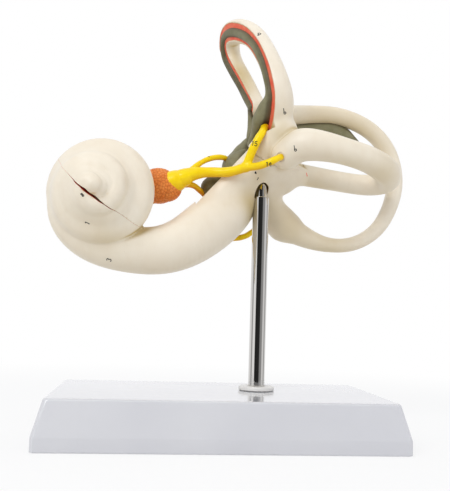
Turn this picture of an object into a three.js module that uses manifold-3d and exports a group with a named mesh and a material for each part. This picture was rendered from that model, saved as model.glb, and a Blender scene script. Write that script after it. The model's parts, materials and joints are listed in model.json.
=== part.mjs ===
// Inner ear teaching model: an enlarged bony labyrinth, opened to show the ducts and nerves inside it,
// held on a chrome rod over a white display base. Millimetres, +Z up, the viewer's side is -Y.
// The origin is at the middle of the base's underside.

import * as THREE from 'three';
import { mergeVertices } from 'three/addons/utils/BufferGeometryUtils.js';
import Module from 'manifold-3d';

const wasm = await Module();
wasm.setup();

// Fits
const gap = 0.3; // between touching pieces, per side

// Display base
const baseLength = 200;
const baseDepth = 110;
const baseHeight = 26.5;
const skirtHeight = 7.5;
const topInset = 5;
const baseWall = 2.6;
const baseCornerRadius = 3;
const smallestCorner = 0.4;
const plateThickness = 1.6;
const plateLedge = 1.2;

// Post and what holds it
const postX = 24;
const postY = 6.5;
const postRadius = 5;
const postBore = 3.3;
const postTop = 145;
const collarRadius = 10.8;
const collarHeight = 2.4;
const collarEdge = 0.8;
const bossRadius = 9;
const bossFloor = 4;
const bossBottom = 6.5;
const plugLength = 18;
const screwRadius = 2;
const screwReach = 12;
const screwHeadRadius = 3.6;
const screwHeadHeight = 2.2;
const washerRadius = 6;
const washerThickness = 1;

// Rod that carries the organ
const rodRadius = 3;
const rodInsertion = 45;
const rodTop = 166;
const socketWall = 1.1;
const socketBottom = 156;
const socketCap = 1.5;
const mouthRadius = 4.5;
const postClearance = 0.7;

// Cochlea: quarter turns of the spiral, from the left side of the first turn to the tip.
// reach is the distance from the axis, tube the tube's radius, rise the height over the first.
const cochleaCentre = new THREE.Vector3(-71.5, -16, 139);
const cochleaLean = new THREE.Vector3(-0.12, -1, -0.03);
const quarterTurns = [
  { reach: 21, tube: 11, rise: 0 },
  { reach: 21.3, tube: 10.4, rise: 2.5 },
  { reach: 20.2, tube: 9.7, rise: 5.5 },
  { reach: 19.8, tube: 9.4, rise: 9.5 },
  { reach: 17, tube: 8.4, rise: 14 },
  { reach: 13.6, tube: 7.3, rise: 18 },
  { reach: 11, tube: 6.6, rise: 21.5 },
  { reach: 10, tube: 6.3, rise: 25 },
  { reach: 6.6, tube: 6, rise: 28.5 },
  { reach: 1.5, tube: 5.6, rise: 31.5 },
];
// The core that the turns wind round: rise over the first turn and radius
const coreStations = [[-8, 12], [0, 17], [10, 15.5], [18, 12], [25, 6.5], [31, 2]];
const lidSeamTilt = 37; // degrees below level, towards the right
const lidSeamLean = -12; // degrees, how far the seam's plane leaves the axis
const lidSeamPoint = new THREE.Vector3(-75.9, -32.1, 137.3);
const canalWall = 2.3;
const recessDepth = 4;
const passageEnd = 7; // quarter turns
const laminaThickness = 1.2;
const nerveCoreStations = [[-10, 3.2], [25, 1.4]];
const pegRadius = 1.5;
const pegLength = 8;
const pegSpread = 7;
const pegRise = -4;

// Bony tubes and swellings: x, y, z of the middle and the tube's radius there
const basalTurn = [
  [-92.5, -16, 139, 11],
  [-88.3, -15.5, 122, 12.3],
  [-72, -14.5, 110.5, 13.2],
  [-44, -12, 107, 13.8],
  [-24.3, -6, 113, 15],
  [-7.7, 2, 126, 15],
  [4, 8, 139, 13],
  [12, 11, 152, 12.5],
];
const vestibuleRoom = [
  [8, 8, 145, 12.3],
  [19, 8, 165, 13.3],
  [34, 10, 164, 12],
  [44, 16, 163.5, 9.5],
  [52.5, 21, 163.6, 7],
];
const posteriorRoot = [
  [24, 13.5, 159, 11.5],
  [31, 24, 143, 10.5],
  [43.1, 28.5, 131.3, 9.7],
];
const anteriorRoot = [
  [32, -13, 182, 10.2],
  [23, -4, 170, 10.5],
];
const lateralRing = [
  [33.6, -16, 166.9, 9.5],
  [41.9, -22, 171.6, 9.2],
  [54.2, -26, 171.2, 8.4],
  [68, -26, 169.3, 7.9],
  [83.9, -20, 166.8, 8],
  [97.3, -10, 163.6, 8.4],
  [103.6, 0, 160.9, 8],
  [103.5, 10, 158.9, 7.2],
  [94.2, 18, 158.3, 6.7],
  [75.1, 22, 161, 6.6],
  [53.2, 21, 163.6, 7],
];
const posteriorRing = [
  [20, 20, 202.2, 6.3],
  [28, 25.5, 204.2, 6.3],
  [42.2, 29, 206.2, 6.2],
  [59.4, 30, 206.8, 6],
  [80.3, 31, 206.2, 5.8],
  [100.2, 31, 198, 5.7],
  [113.3, 31, 184, 5.5],
  [118.5, 31, 165.3, 5.4],
  [115.4, 30.5, 146.8, 5.1],
  [105.7, 30, 130.3, 4.8],
  [90, 29.5, 120.6, 4.6],
  [73, 29.5, 119.3, 4.8],
  [57.8, 29, 123.9, 7],
  [43.1, 28.5, 131.3, 9.7],
];

// The anterior ring lies in a plane of its own: across runs towards the viewer, up is the plane's rise.
const anteriorTurn = 16; // degrees
const anteriorLean = 10; // degrees
const anteriorCentre = new THREE.Vector3(17.3, 3.6, 223.2);
const anteriorRing = [
  [12.5, -42, 9.8],
  [24, -31, 9.2],
  [26.5, -15, 7.6],
  [20.5, 3, 7],
  [8.5, 20, 7],
  [-10, 31, 7],
  [-26, 31.5, 7],
  [-34, 20, 7],
  [-24.5, 1, 7],
  [-10.5, -19, 6.6],
];
const anteriorCutOffset = 4;
const anteriorCutBottom = 180;
const farLimbTilt = 17; // degrees, how far the cut face turns away on the outside of the rear limb
const farLimbFoot = [-10.5, -19]; // across and up, as is the top
const farLimbTop = [-34, 20];
const anteriorDuctSunk = 1.2;
const anteriorDuctInset = 0.8;
// The duct's swelling: across, up, lift from the ring's plane and radius
const anteriorAmpulla = [
  [13, -40, -1.5, 4],
  [19.5, -31, 4.2, 6],
  [25.7, -15, 2.8, 4],
];
const anteriorDuctRadii = [3.1, 3, 3, 3, 2.8, 2.3, 1.9]; // beyond the swelling
const anteriorDuctFoot = [17, 1, 177, 3.4];

const posteriorCutY = 33.5;
const posteriorDuctSunk = 0.9;
const posteriorDuctRadii = [2.3, 2.3, 2.3, 2.3, 2.3, 2.3, 2.3, 2.3, 2.3, 2.3, 2.3, 2.5, 3.8, 5.4];

// Seams between the bony pieces
const anteriorSeamPoint = new THREE.Vector3(20, -12, 172.5);
const anteriorSeamNormal = new THREE.Vector3(0.36, -0.3, 0.88);
const lateralSeamX = 52.5;
const posteriorSeamX = 43.5;
const lateralMiddleY = 5; // between the ring's two limbs
const upperLimbBottom = 165;

// The vestibule's opened side
const openingPoint = new THREE.Vector3(-12, 4, 147.8);
const openingNormal = new THREE.Vector3(-0.66, 0.38, 0.64);
const openingLeft = -28;

// Membranous pieces and nerves
const utricleChain = [
  [17.5, 12, 180, 4.8],
  [13, 9, 172, 7.2],
  [7.8, 5.5, 163.8, 8.6],
];
const sacculeChain = [
  [-1, 6, 154.5, 6.6],
  [-7, 4.5, 150, 6.6],
];
const crusChain = [
  [16.6, 15.5, 203.5, 2.7],
  [17, 15.5, 195, 2.7],
  [17.5, 13.5, 186, 3],
];
const sacChain = [
  [18.5, 14.5, 186.3, 1.6],
  [24, 18.5, 186.8, 1.5],
  [31, 27, 190, 1.8],
  [42, 32, 193.5, 2.4],
  [56, 33, 196.3, 4.8],
  [70, 33, 196.6, 5],
  [82, 33, 194.5, 4],
  [92, 33, 191, 1.4],
];
const sacFlatness = 0.55;
const ganglionChain = [
  [-46, 4, 148, 8],
  [-40, 3.5, 147.8, 10.4],
  [-33.5, 2, 147.5, 8.6],
];
const trunkChain = [
  [-32, 0, 151.5, 6.4],
  [-26.5, -1, 153.6, 4.8],
  [-18.4, -3, 156.6, 3.5],
  [-8.3, -4, 157.3, 3],
  [1.9, -8, 157, 3],
  [11.2, -13.5, 159.5, 2.8],
];
const anteriorBranch = [
  [11.2, -13.5, 159.5, 2.4],
  [14.3, -17, 168.6, 1.9],
  [17.8, -19.5, 177.5, 1.8],
  [21.8, -17.8, 185, 1.8],
];
const lateralBranch = [
  [11.2, -13.5, 159.5, 2.2],
  [17.5, -20, 159.6, 1.7],
  [24, -26.5, 162.3, 1.6],
  [30, -25.5, 166, 1.6],
];
const utricularChain = [
  [-21.4, -3, 156.6, 2.4],
  [-16.7, -1.5, 162, 1.7],
  [-9.3, 0, 166.6, 1.6],
  [-0.5, 2, 168.3, 1.6],
];
const saccularChain = [
  [-29, -1, 147.6, 2.4],
  [-24.7, 0, 149.6, 2],
  [-18.6, 2.5, 150, 1.8],
  [-13.5, 4, 148, 1.6],
];
const ampullaryChain = [
  [-34, 12, 142, 1.8],
  [-22, 18, 137, 1.8],
  [-6, 21, 127, 1.8],
  [7, 20, 120.5, 1.8],
  [16, 21, 118.5, 1.8],
  [24, 24, 120, 1.8],
  [35, 27.5, 128, 1.8],
];
const cochlearTail = [
  [-70, -6, 139, 3.2],
  [-69, 1, 138, 3],
  [-60, 7, 136.5, 3],
  [-48, 7.5, 135.8, 2.8],
  [-38, 9, 136.6, 2.6],
];

// Fineness
const radialSteps = 10;
const nerveSteps = 8;
const pegSteps = 12;
const roundSteps = 24;
const cornerSteps = 2;
const spanSteps = 2; // lengths that a tube is made of between two stations
const basalSpanSteps = 3;
const domeAngles = [35, 65]; // degrees
const nearlyUpright = 0.1; // sine of the angle
const overshoot = 1; // how far a cutting body runs past what it cuts
const blockSize = 400;

// Materials
function shade(color, roughness, metalness = 0) {
  return new THREE.MeshStandardMaterial({ color, roughness, metalness });
}

const gloss = shade(0xe9eaee, 0.18);
const plateGrey = shade(0xd5d6da, 0.5);
const chrome = shade(0xb9bcc2, 0.08, 1);
const steel = shade(0x8f9297, 0.3, 1);
const bone = shade(0xe9dfce, 0.45);
const membrane = shade(0x84826c, 0.5);
const sacculeGrey = shade(0x6f6a55, 0.5);
const nerve = shade(0xf0d01c, 0.35);
const ganglionOrange = shade(0xd0753a, 0.5);
const sleeveBrown = shade(0x8a5a34, 0.6);

// Solids

function solid(geometry) {
  const merged = mergeVertices(stripped(geometry));
  return new wasm.Manifold(new wasm.Mesh({
    numProp: 3,
    vertProperties: new Float32Array(merged.attributes.position.array),
    triVerts: new Uint32Array(merged.index.array),
  }));
}

function stripped(geometry) {
  const copy = geometry.clone();
  copy.deleteAttribute('normal');
  copy.deleteAttribute('uv');
  return copy;
}

function piece(name, body, material) {
  const mesh = body.getMesh();
  const geometry = new THREE.BufferGeometry();
  geometry.setAttribute('position', new THREE.BufferAttribute(new Float32Array(mesh.vertProperties), 3));
  geometry.setIndex(new THREE.BufferAttribute(new Uint32Array(mesh.triVerts), 1));
  geometry.computeVertexNormals();
  const node = new THREE.Mesh(geometry, material);
  node.name = name;
  return node;
}

function union(bodies) {
  return bodies.reduce((all, body) => all.add(body));
}

// A closed body from rings of points that turn anticlockwise seen from ahead, with a point closing each end.
function stitched(rings, startPoint, endPoint) {
  const count = rings[0].length;
  const start = rings.length * count;
  const lastStart = start - count;
  const faces = [];
  for (let i = 0; i + 1 < rings.length; i += 1) {
    for (let k = 0; k < count; k += 1) {
      const a = i * count + k;
      const b = i * count + ((k + 1) % count);
      faces.push(a, b, b + count, a, b + count, a + count);
    }
  }
  for (let k = 0; k < count; k += 1) {
    const next = (k + 1) % count;
    faces.push(start, next, k);
    faces.push(start + 1, lastStart + k, lastStart + next);
  }
  const geometry = new THREE.BufferGeometry().setFromPoints([...rings.flat(), startPoint, endPoint]);
  geometry.setIndex(faces);
  return solid(geometry);
}

function smooth(points) {
  return new THREE.CatmullRomCurve3(points, false, 'catmullrom', 0.5);
}

// A round tube through the stations, its radius following theirs, with domed ends.
function taperedTube(stations, { steps = radialSteps, grow = 0, perSpan = spanSteps, domes = true, flat = 1 } = {}) {
  const path = smooth(stations.map(([x, y, z]) => new THREE.Vector3(x, y, z)));
  const radii = smooth(stations.map((station) => new THREE.Vector3(station[3], 0, 0)));
  const count = (stations.length - 1) * perSpan;
  const frames = [];
  let side = null;
  for (let i = 0; i <= count; i += 1) {
    const along = path.getTangent(i / count);
    side = side ?? sideways(along);
    side = side.clone().addScaledVector(along, -side.dot(along)).normalize();
    frames.push({ centre: path.getPoint(i / count), along, side, radius: radii.getPoint(i / count).x + grow });
  }
  return tube(frames, steps, domes, flat);
}

function sideways(along) {
  const side = new THREE.Vector3(0, 0, 1).cross(along);
  return side.length() > nearlyUpright ? side : new THREE.Vector3(1, 0, 0).cross(along);
}

function tube(frames, steps, domes, flat = 1) {
  const all = domes ? [...dome(frames[0], -1).reverse(), ...frames, ...dome(frames.at(-1), 1)] : frames;
  const rings = all.map((frame) => circleOf(frame, steps, flat));
  if (!domes) return stitched(rings, frames[0].centre, frames.at(-1).centre);
  return stitched(rings, pole(frames[0], -1), pole(frames.at(-1), 1));
}

function circleOf({ centre, along, side, radius }, steps, flat) {
  const up = new THREE.Vector3().crossVectors(along, side);
  return Array.from({ length: steps }, (_, k) => {
    const angle = (2 * Math.PI * k) / steps;
    const out = side.clone().multiplyScalar(radius * Math.cos(angle));
    out.addScaledVector(up, radius * Math.sin(angle));
    out.y *= flat;
    return centre.clone().add(out);
  });
}

// The extra rings that round a tube's end off, and the point that closes it.
function dome(frame, towards) {
  return domeAngles.map((degrees) => {
    const angle = THREE.MathUtils.degToRad(degrees);
    return {
      ...frame,
      centre: frame.centre.clone().addScaledVector(frame.along, towards * frame.radius * Math.sin(angle)),
      radius: frame.radius * Math.cos(angle),
    };
  });
}

function pole({ centre, along, radius }, towards) {
  return centre.clone().addScaledVector(along, towards * radius);
}

// A block whose one face lies on the plane and which fills the side that the normal points to.
function beyond(point, normal, offset = 0) {
  const block = new THREE.BoxGeometry(blockSize, blockSize, blockSize);
  block.translate(0, 0, blockSize / 2 + offset);
  const upwards = new THREE.Vector3(0, 0, 1);
  block.applyQuaternion(new THREE.Quaternion().setFromUnitVectors(upwards, normal.clone().normalize()));
  block.translate(point.x, point.y, point.z);
  return solid(block);
}

const beyondX = (x) => beyond(new THREE.Vector3(x, 0, 0), new THREE.Vector3(1, 0, 0));
const beyondY = (y) => beyond(new THREE.Vector3(0, y, 0), new THREE.Vector3(0, 1, 0));
const beyondZ = (z) => beyond(new THREE.Vector3(0, 0, z), new THREE.Vector3(0, 0, 1));

// A cylinder on the post's axis.
function upright(radius, bottom, top, steps = roundSteps) {
  const shape = new THREE.CylinderGeometry(radius, radius, top - bottom, steps);
  shape.rotateX(Math.PI / 2);
  shape.translate(postX, postY, (top + bottom) / 2);
  return solid(shape);
}

function lathed(profile) {
  const shape = new THREE.LatheGeometry(profile.map(([r, z]) => new THREE.Vector2(r, z)), roundSteps);
  shape.rotateX(Math.PI / 2);
  shape.translate(postX, postY, 0);
  return solid(shape);
}

// Display base

function roundedOutline(length, depth, radius) {
  const shape = new THREE.Shape();
  const x = length / 2;
  const y = depth / 2;
  shape.moveTo(-x + radius, -y);
  shape.lineTo(x - radius, -y);
  shape.absarc(x - radius, -y + radius, radius, -Math.PI / 2, 0);
  shape.absarc(x - radius, y - radius, radius, 0, Math.PI / 2);
  shape.absarc(-x + radius, y - radius, radius, Math.PI / 2, Math.PI);
  shape.absarc(-x + radius, -y + radius, radius, Math.PI, 1.5 * Math.PI);
  return shape.extractPoints(cornerSteps).shape.slice(0, -1);
}

// A body between rounded outlines at different heights.
function lofted(levels) {
  const rings = levels.map(({ length, depth, radius, z }) => roundedOutline(length, depth, radius)
    .map((p) => new THREE.Vector3(p.x, p.y, z)));
  return stitched(rings, new THREE.Vector3(0, 0, levels[0].z), new THREE.Vector3(0, 0, levels.at(-1).z));
}

function slab(inset, bottom, top) {
  const level = {
    length: baseLength - 2 * inset,
    depth: baseDepth - 2 * inset,
    radius: baseCornerRadius - inset,
  };
  return lofted([{ ...level, z: bottom }, { ...level, z: top }]);
}

// The base's outer form, or the hollow a wall's thickness inside it.
function baseForm(inset, bottom, top) {
  const slope = topInset / (baseHeight - skirtHeight);
  const radius = Math.max(baseCornerRadius - inset, smallestCorner);
  const level = (z) => {
    const all = inset + slope * Math.max(z - skirtHeight, 0);
    return { length: baseLength - 2 * all, depth: baseDepth - 2 * all, radius, z };
  };
  return lofted([level(bottom), level(skirtHeight), level(top)]);
}

function makeBaseShell() {
  return baseForm(0, 0, baseHeight)
    .subtract(baseForm(baseWall, -overshoot, baseHeight - baseWall))
    .subtract(slab(plateLedge, -overshoot, plateThickness + gap))
    .add(upright(bossRadius, bossBottom, baseHeight - baseWall / 2))
    .subtract(upright(postRadius + gap, bossBottom + bossFloor, baseHeight + overshoot))
    .subtract(upright(screwRadius + gap, bossBottom - overshoot, bossBottom + bossFloor + overshoot));
}

function makeBottomPlate() {
  return slab(plateLedge + gap, 0, plateThickness);
}

// Post

const tubeFoot = bossBottom + bossFloor + gap;
const rodFoot = postTop - rodInsertion;
const socketRadius = rodRadius + gap + socketWall;
const socketTop = rodTop + gap + socketCap;
const edgeMiddle = 1 - Math.SQRT1_2; // of a rounded edge's radius, how far its middle lies in

function makeCollar() {
  const bottom = baseHeight + gap;
  const top = bottom + collarHeight;
  const bore = postRadius + gap;
  return lathed([
    [bore, bottom],
    [collarRadius, bottom],
    [collarRadius, top - collarEdge],
    [collarRadius - collarEdge * edgeMiddle, top - collarEdge * edgeMiddle],
    [collarRadius - collarEdge, top],
    [bore, top],
    [bore, bottom],
  ]);
}

function makePostTube() {
  return lathed([
    [postBore, tubeFoot],
    [postRadius, tubeFoot],
    [postRadius, postTop],
    [postBore, postTop],
    [postBore, tubeFoot],
  ]);
}

function makePlug() {
  const foot = tubeFoot + gap;
  return upright(postBore - gap, foot, foot + plugLength)
    .subtract(upright(screwRadius + gap, foot - overshoot, foot + screwReach + gap));
}

const washerTop = bossBottom - gap;
const headTop = washerTop - washerThickness - gap;

function makeWasher() {
  const bottom = washerTop - washerThickness;
  return upright(washerRadius, bottom, washerTop)
    .subtract(upright(screwRadius + gap, bottom - overshoot, washerTop + overshoot));
}

function makeScrew() {
  return upright(screwHeadRadius, headTop - screwHeadHeight, headTop)
    .add(upright(screwRadius, headTop - screwHeadHeight / 2, tubeFoot + gap + screwReach));
}

function makeRod() {
  return upright(rodRadius, rodFoot, rodTop);
}

function makeSocket() {
  return upright(socketRadius, socketBottom, socketTop)
    .subtract(upright(rodRadius + gap, socketBottom - overshoot, rodTop + gap));
}

// Cochlea

const cochleaAxis = cochleaLean.clone().normalize();

function spiralStation(turn) {
  const last = quarterTurns.length - 1;
  const at = Math.min(turn, last);
  const i = Math.min(Math.floor(at), last - 1);
  const pick = (key) => {
    const value = (k) => quarterTurns[Math.max(0, Math.min(last, k))][key];
    const t = at - i;
    const [a, b, c, d] = [value(i - 1), value(i), value(i + 1), value(i + 2)];
    return b + 0.5 * t * (c - a + t * (2 * a - 5 * b + 4 * c - d + t * (3 * (b - c) + d - a)));
  };
  const angle = Math.PI + (at * Math.PI) / 2;
  const reach = pick('reach');
  const centre = cochleaCentre.clone().addScaledVector(cochleaAxis, pick('rise'));
  return [centre.x + reach * Math.cos(angle), centre.y, centre.z - reach * Math.sin(angle), pick('tube')];
}

const ringsPerQuarter = 4;
const lastRing = (quarterTurns.length - 1) * ringsPerQuarter;
const ringsPerPiece = 4;
const tangentStep = 0.1; // rings, to each side of the one whose direction is wanted

function spiralRing(index, shrink) {
  const [x, y, z, tube] = spiralStation(index / ringsPerQuarter);
  const before = new THREE.Vector3(...spiralStation((index - tangentStep) / ringsPerQuarter));
  const after = new THREE.Vector3(...spiralStation((index + tangentStep) / ringsPerQuarter));
  const centre = new THREE.Vector3(x, y, z);
  const along = after.sub(before).normalize();
  const side = cochleaAxis.clone().addScaledVector(along, -cochleaAxis.dot(along)).normalize();
  return { centre, along, side, radius: tube - shrink };
}

// The spiral is laid down in pieces shorter than a turn, so that no piece runs into itself.
function spiralTube(shrink, steps, end = lastRing) {
  const parts = [];
  for (let first = 0; first < end; first += ringsPerPiece) {
    const last = Math.min(first + ringsPerPiece, end);
    const frames = [];
    for (let i = first; i <= last; i += 1) frames.push(spiralRing(i, shrink));
    if (last === lastRing) frames.push(...dome(frames.at(-1), 1));
    parts.push(tube(frames, steps, false));
  }
  return union(parts);
}

function axisPoint(rise) {
  return cochleaCentre.clone().addScaledVector(cochleaAxis, rise);
}

function axisCone(profile, steps) {
  const stations = profile.map(([rise, radius]) => [...axisPoint(rise), radius]);
  return taperedTube(stations, { steps, perSpan: 1, domes: false });
}

function snail(grow = 0) {
  const core = coreStations.map(([rise, radius], i) => [i === 0 ? rise - grow : rise, radius + grow]);
  return spiralTube(-grow, radialSteps).add(axisCone(core, radialSteps));
}

const lidNormal = new THREE.Vector3(
  Math.sin(THREE.MathUtils.degToRad(lidSeamTilt)),
  Math.tan(THREE.MathUtils.degToRad(lidSeamLean)),
  Math.cos(THREE.MathUtils.degToRad(lidSeamTilt)),
).normalize();

// Shallow hollows of the two passages where the seam cuts the turns, either side of the lamina.
function passages() {
  const nearSeam = beyond(lidSeamPoint, lidNormal, -recessDepth)
    .subtract(beyond(lidSeamPoint, lidNormal, recessDepth));
  return spiralTube(canalWall, nerveSteps, passageEnd * ringsPerQuarter)
    .subtract(laminaSheet())
    .intersect(nearSeam);
}

// The shelf that divides the passage, running from the core to the outer wall.
function laminaSheet() {
  const parts = [];
  for (let first = 0; first < lastRing; first += ringsPerPiece) {
    const rings = [];
    const last = Math.min(first + ringsPerPiece, lastRing);
    for (let i = first; i <= last; i += 1) rings.push(laminaEdge(spiralRing(i, -gap)));
    const middle = (ring) => ring[0].clone().lerp(ring[2], 0.5);
    parts.push(stitched(rings, middle(rings[0]), middle(rings.at(-1))));
  }
  return union(parts);
}

function laminaEdge({ centre, along, side, radius }) {
  const outward = new THREE.Vector3().crossVectors(along, side);
  const half = laminaThickness / 2;
  const corners = [[-radius, -half], [-radius, half], [radius, half], [radius, -half]];
  return corners.map(([out, lift]) => centre.clone().addScaledVector(outward, out).addScaledVector(side, lift));
}

function nerveCore(grow) {
  return axisCone(nerveCoreStations.map(([rise, radius]) => [rise, radius + grow]), nerveSteps);
}

const seamDirection = new THREE.Vector3().crossVectors(lidNormal, cochleaAxis).normalize();

function pegPlace(side) {
  const place = axisPoint(pegRise).addScaledVector(seamDirection, side * pegSpread);
  const lift = place.clone().sub(lidSeamPoint).dot(lidNormal);
  return place.addScaledVector(lidNormal, -lift);
}

function peg(side, grow) {
  const middle = pegPlace(side);
  const half = pegLength / 2 + grow;
  const ends = [-half, half].map((s) => middle.clone().addScaledVector(lidNormal, s));
  const stations = ends.map((end) => [...end, pegRadius + grow]);
  return taperedTube(stations, { steps: pegSteps, perSpan: 1, domes: false });
}

const pegSides = [-1, 1];

// Canals

const turn = THREE.MathUtils.degToRad(anteriorTurn);
const lean = THREE.MathUtils.degToRad(anteriorLean);
const anteriorNormal = new THREE.Vector3(
  -Math.cos(turn) * Math.cos(lean),
  -Math.sin(turn) * Math.cos(lean),
  -Math.sin(lean),
);
const anteriorAcross = new THREE.Vector3(Math.sin(turn), -Math.cos(turn), 0);
const anteriorUp = new THREE.Vector3().crossVectors(anteriorNormal, anteriorAcross);

function inAnteriorPlane(across, up, lift) {
  return anteriorCentre.clone()
    .addScaledVector(anteriorAcross, across)
    .addScaledVector(anteriorUp, up)
    .addScaledVector(anteriorNormal, lift);
}

function anteriorStations() {
  return anteriorRing.map(([across, up, radius]) => [...inAnteriorPlane(across, up, 0), radius]);
}

function anteriorDuctStations() {
  const swelling = anteriorAmpulla.map(([across, up, lift, radius]) => [...inAnteriorPlane(across, up, lift), radius]);
  const rest = anteriorRing.slice(anteriorAmpulla.length).map(([across, up], i) => {
    const inward = 1 - anteriorDuctInset / Math.hypot(across, up);
    const place = inAnteriorPlane(across * inward, up * inward, anteriorCutOffset - anteriorDuctSunk);
    return [...place, anteriorDuctRadii[i]];
  });
  return [anteriorDuctFoot, ...swelling, ...rest];
}

function posteriorDuctStations() {
  return posteriorRing.map(([x, , z], i) => [x, posteriorCutY - posteriorDuctSunk, z, posteriorDuctRadii[i]]);
}

// The canal is cut open along the ring's plane, and along a tilted one outside its rear limb.
function anteriorCut() {
  const foot = inAnteriorPlane(...farLimbFoot, anteriorCutOffset);
  const limb = foot.clone().sub(inAnteriorPlane(...farLimbTop, anteriorCutOffset)).normalize();
  const tilted = anteriorNormal.clone().applyAxisAngle(limb, THREE.MathUtils.degToRad(farLimbTilt));
  return beyond(anteriorCentre, anteriorNormal, anteriorCutOffset)
    .add(beyond(foot, tilted))
    .intersect(beyondZ(anteriorCutBottom));
}

const posteriorCut = () => beyondY(posteriorCutY);

const bonyTube = (chain, grow = 0) => taperedTube(chain, { grow });
const nerveTube = (chain, grow = 0) => taperedTube(chain, { steps: nerveSteps, grow });
const anteriorTube = (grow = 0) => bonyTube(anteriorStations(), grow);
const lateralTube = (grow = 0) => bonyTube(lateralRing, grow);
const posteriorTube = (grow = 0) => bonyTube(posteriorRing, grow);
const anteriorDuct = (grow = 0) => nerveTube(anteriorDuctStations(), grow);
const posteriorDuct = (grow = 0) => nerveTube(posteriorDuctStations(), grow);
const crusDuct = (grow = 0) => nerveTube(crusChain, grow);
const utricleBody = (grow = 0) => taperedTube(utricleChain, { grow });
const sacculeBody = (grow = 0) => taperedTube(sacculeChain, { grow });
const sacBody = (grow = 0) => taperedTube(sacChain, { grow, flat: sacFlatness });
const ganglionBody = (grow = 0) => taperedTube(ganglionChain, { grow });
const frontNerve = (grow = 0) => nerveTube(trunkChain, grow)
  .add(nerveTube(anteriorBranch, grow))
  .add(nerveTube(lateralBranch, grow));

const cochlearTailTube = (grow = 0) => nerveTube(cochlearTail, grow);

function makeAnteriorCanal() {
  return anteriorTube().add(bonyTube(anteriorRoot))
    .intersect(beyond(anteriorSeamPoint, anteriorSeamNormal, gap / 2))
    .subtract(anteriorCut())
    .subtract(anteriorDuct(gap))
    .subtract(lateralTube(gap))
    .subtract(crusDuct(gap))
    .subtract(frontNerve(gap));
}

function makePosteriorCanal() {
  return posteriorTube()
    .intersect(beyondZ(upperLimbBottom).add(beyondX(posteriorSeamX + gap)))
    .subtract(posteriorCut())
    .subtract(posteriorDuct(gap))
    .subtract(anteriorCut())
    .subtract(anteriorTube(gap))
    .subtract(anteriorDuct(gap))
    .subtract(crusDuct(gap))
    .subtract(sacBody(gap));
}

function makeLateralCanal() {
  return lateralTube()
    .subtract(farLimbLeftOf(lateralSeamX + gap))
    .subtract(frontNerve(gap));
}

// The room in which the body keeps the end of the lateral ring's far limb.
function farLimbLeftOf(x) {
  return beyondY(lateralMiddleY).subtract(beyondX(x));
}

// Body

function makeBody() {
  return snail()
    .subtract(beyond(lidSeamPoint, lidNormal, -gap / 2))
    .add(taperedTube(basalTurn, { perSpan: basalSpanSteps }))
    .add(bonyTube(vestibuleRoom))
    .add(bonyTube(posteriorRoot))
    .add(bonyTube(anteriorRoot))
    .subtract(lidBlank(gap))
    .subtract(beyond(anteriorSeamPoint, anteriorSeamNormal, -gap / 2))
    .subtract(beyond(openingPoint, openingNormal).intersect(beyondX(openingLeft)))
    .subtract(posteriorCut())
    .subtract(passages())
    .subtract(nerveCore(gap))
    .subtract(union(pegSides.map((side) => peg(side, gap))))
    .subtract(utricleBody(gap))
    .subtract(sacculeBody(gap))
    .subtract(anteriorDuct(gap))
    .subtract(posteriorDuct(gap))
    .subtract(lateralTube(gap).subtract(farLimbLeftOf(lateralSeamX)))
    .subtract(posteriorTube(gap).intersect(beyondX(posteriorSeamX)))
    .subtract(nerveTube(ampullaryChain, gap))
    .subtract(nerveTube(saccularChain, gap))
    .subtract(frontNerve(gap))
    .subtract(upright(mouthRadius, postTop, socketBottom))
    .subtract(upright(socketRadius + gap, socketBottom - overshoot, socketTop + gap))
    .subtract(upright(postRadius + postClearance, baseHeight, postTop + postClearance));
}

function lidBlank(grow = 0) {
  return snail(grow).intersect(beyond(lidSeamPoint, lidNormal, gap / 2 - grow));
}

function makeLid() {
  return lidBlank()
    .subtract(passages())
    .subtract(nerveCore(gap))
    .subtract(union(pegSides.map((side) => peg(side, gap))));
}

// A body cut back by the gap wherever one of its neighbours is in its way.
function clearOf(body, ...neighbours) {
  return neighbours.reduce((rest, neighbour) => rest.subtract(neighbour(gap)), body);
}

const bodies = [
  ['base_shell', makeBaseShell(), gloss],
  ['bottom_plate', makeBottomPlate(), plateGrey],
  ['post_collar', makeCollar(), gloss],
  ['post_tube', makePostTube(), chrome],
  ['post_plug', makePlug(), steel],
  ['post_washer', makeWasher(), steel],
  ['post_screw', makeScrew(), steel],
  ['support_rod', makeRod(), chrome],
  ['rod_socket', makeSocket(), sleeveBrown],
  ['labyrinth_body', makeBody(), bone],
  ['cochlea_lid', makeLid(), bone],
  ['lid_peg_1', peg(pegSides[0], 0), steel],
  ['lid_peg_2', peg(pegSides[1], 0), steel],
  ['anterior_canal', makeAnteriorCanal(), bone],
  ['posterior_canal', makePosteriorCanal(), bone],
  ['lateral_canal', makeLateralCanal(), bone],
  ['anterior_duct', clearOf(anteriorDuct(), utricleBody, frontNerve), membrane],
  ['common_crus_duct', clearOf(crusDuct(), utricleBody, anteriorDuct), membrane],
  ['posterior_duct', clearOf(posteriorDuct(), crusDuct, anteriorDuct), membrane],
  ['utricle', utricleBody(), membrane],
  ['saccule', clearOf(sacculeBody(), utricleBody), sacculeGrey],
  ['endolymphatic_sac', clearOf(sacBody(), utricleBody, crusDuct), membrane],
  ['vestibular_ganglion', clearOf(ganglionBody(), cochlearTailTube), ganglionOrange],
  ['vestibular_nerve', clearOf(frontNerve(), ganglionBody), nerve],
  ['utricular_nerve', clearOf(nerveTube(utricularChain), frontNerve, utricleBody), nerve],
  ['saccular_nerve', clearOf(nerveTube(saccularChain), frontNerve, ganglionBody, sacculeBody), nerve],
  ['posterior_ampullary_nerve', clearOf(nerveTube(ampullaryChain), ganglionBody, posteriorDuct), nerve],
  ['cochlear_nerve', cochlearTailTube().add(nerveCore(0)), nerve],
];

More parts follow.
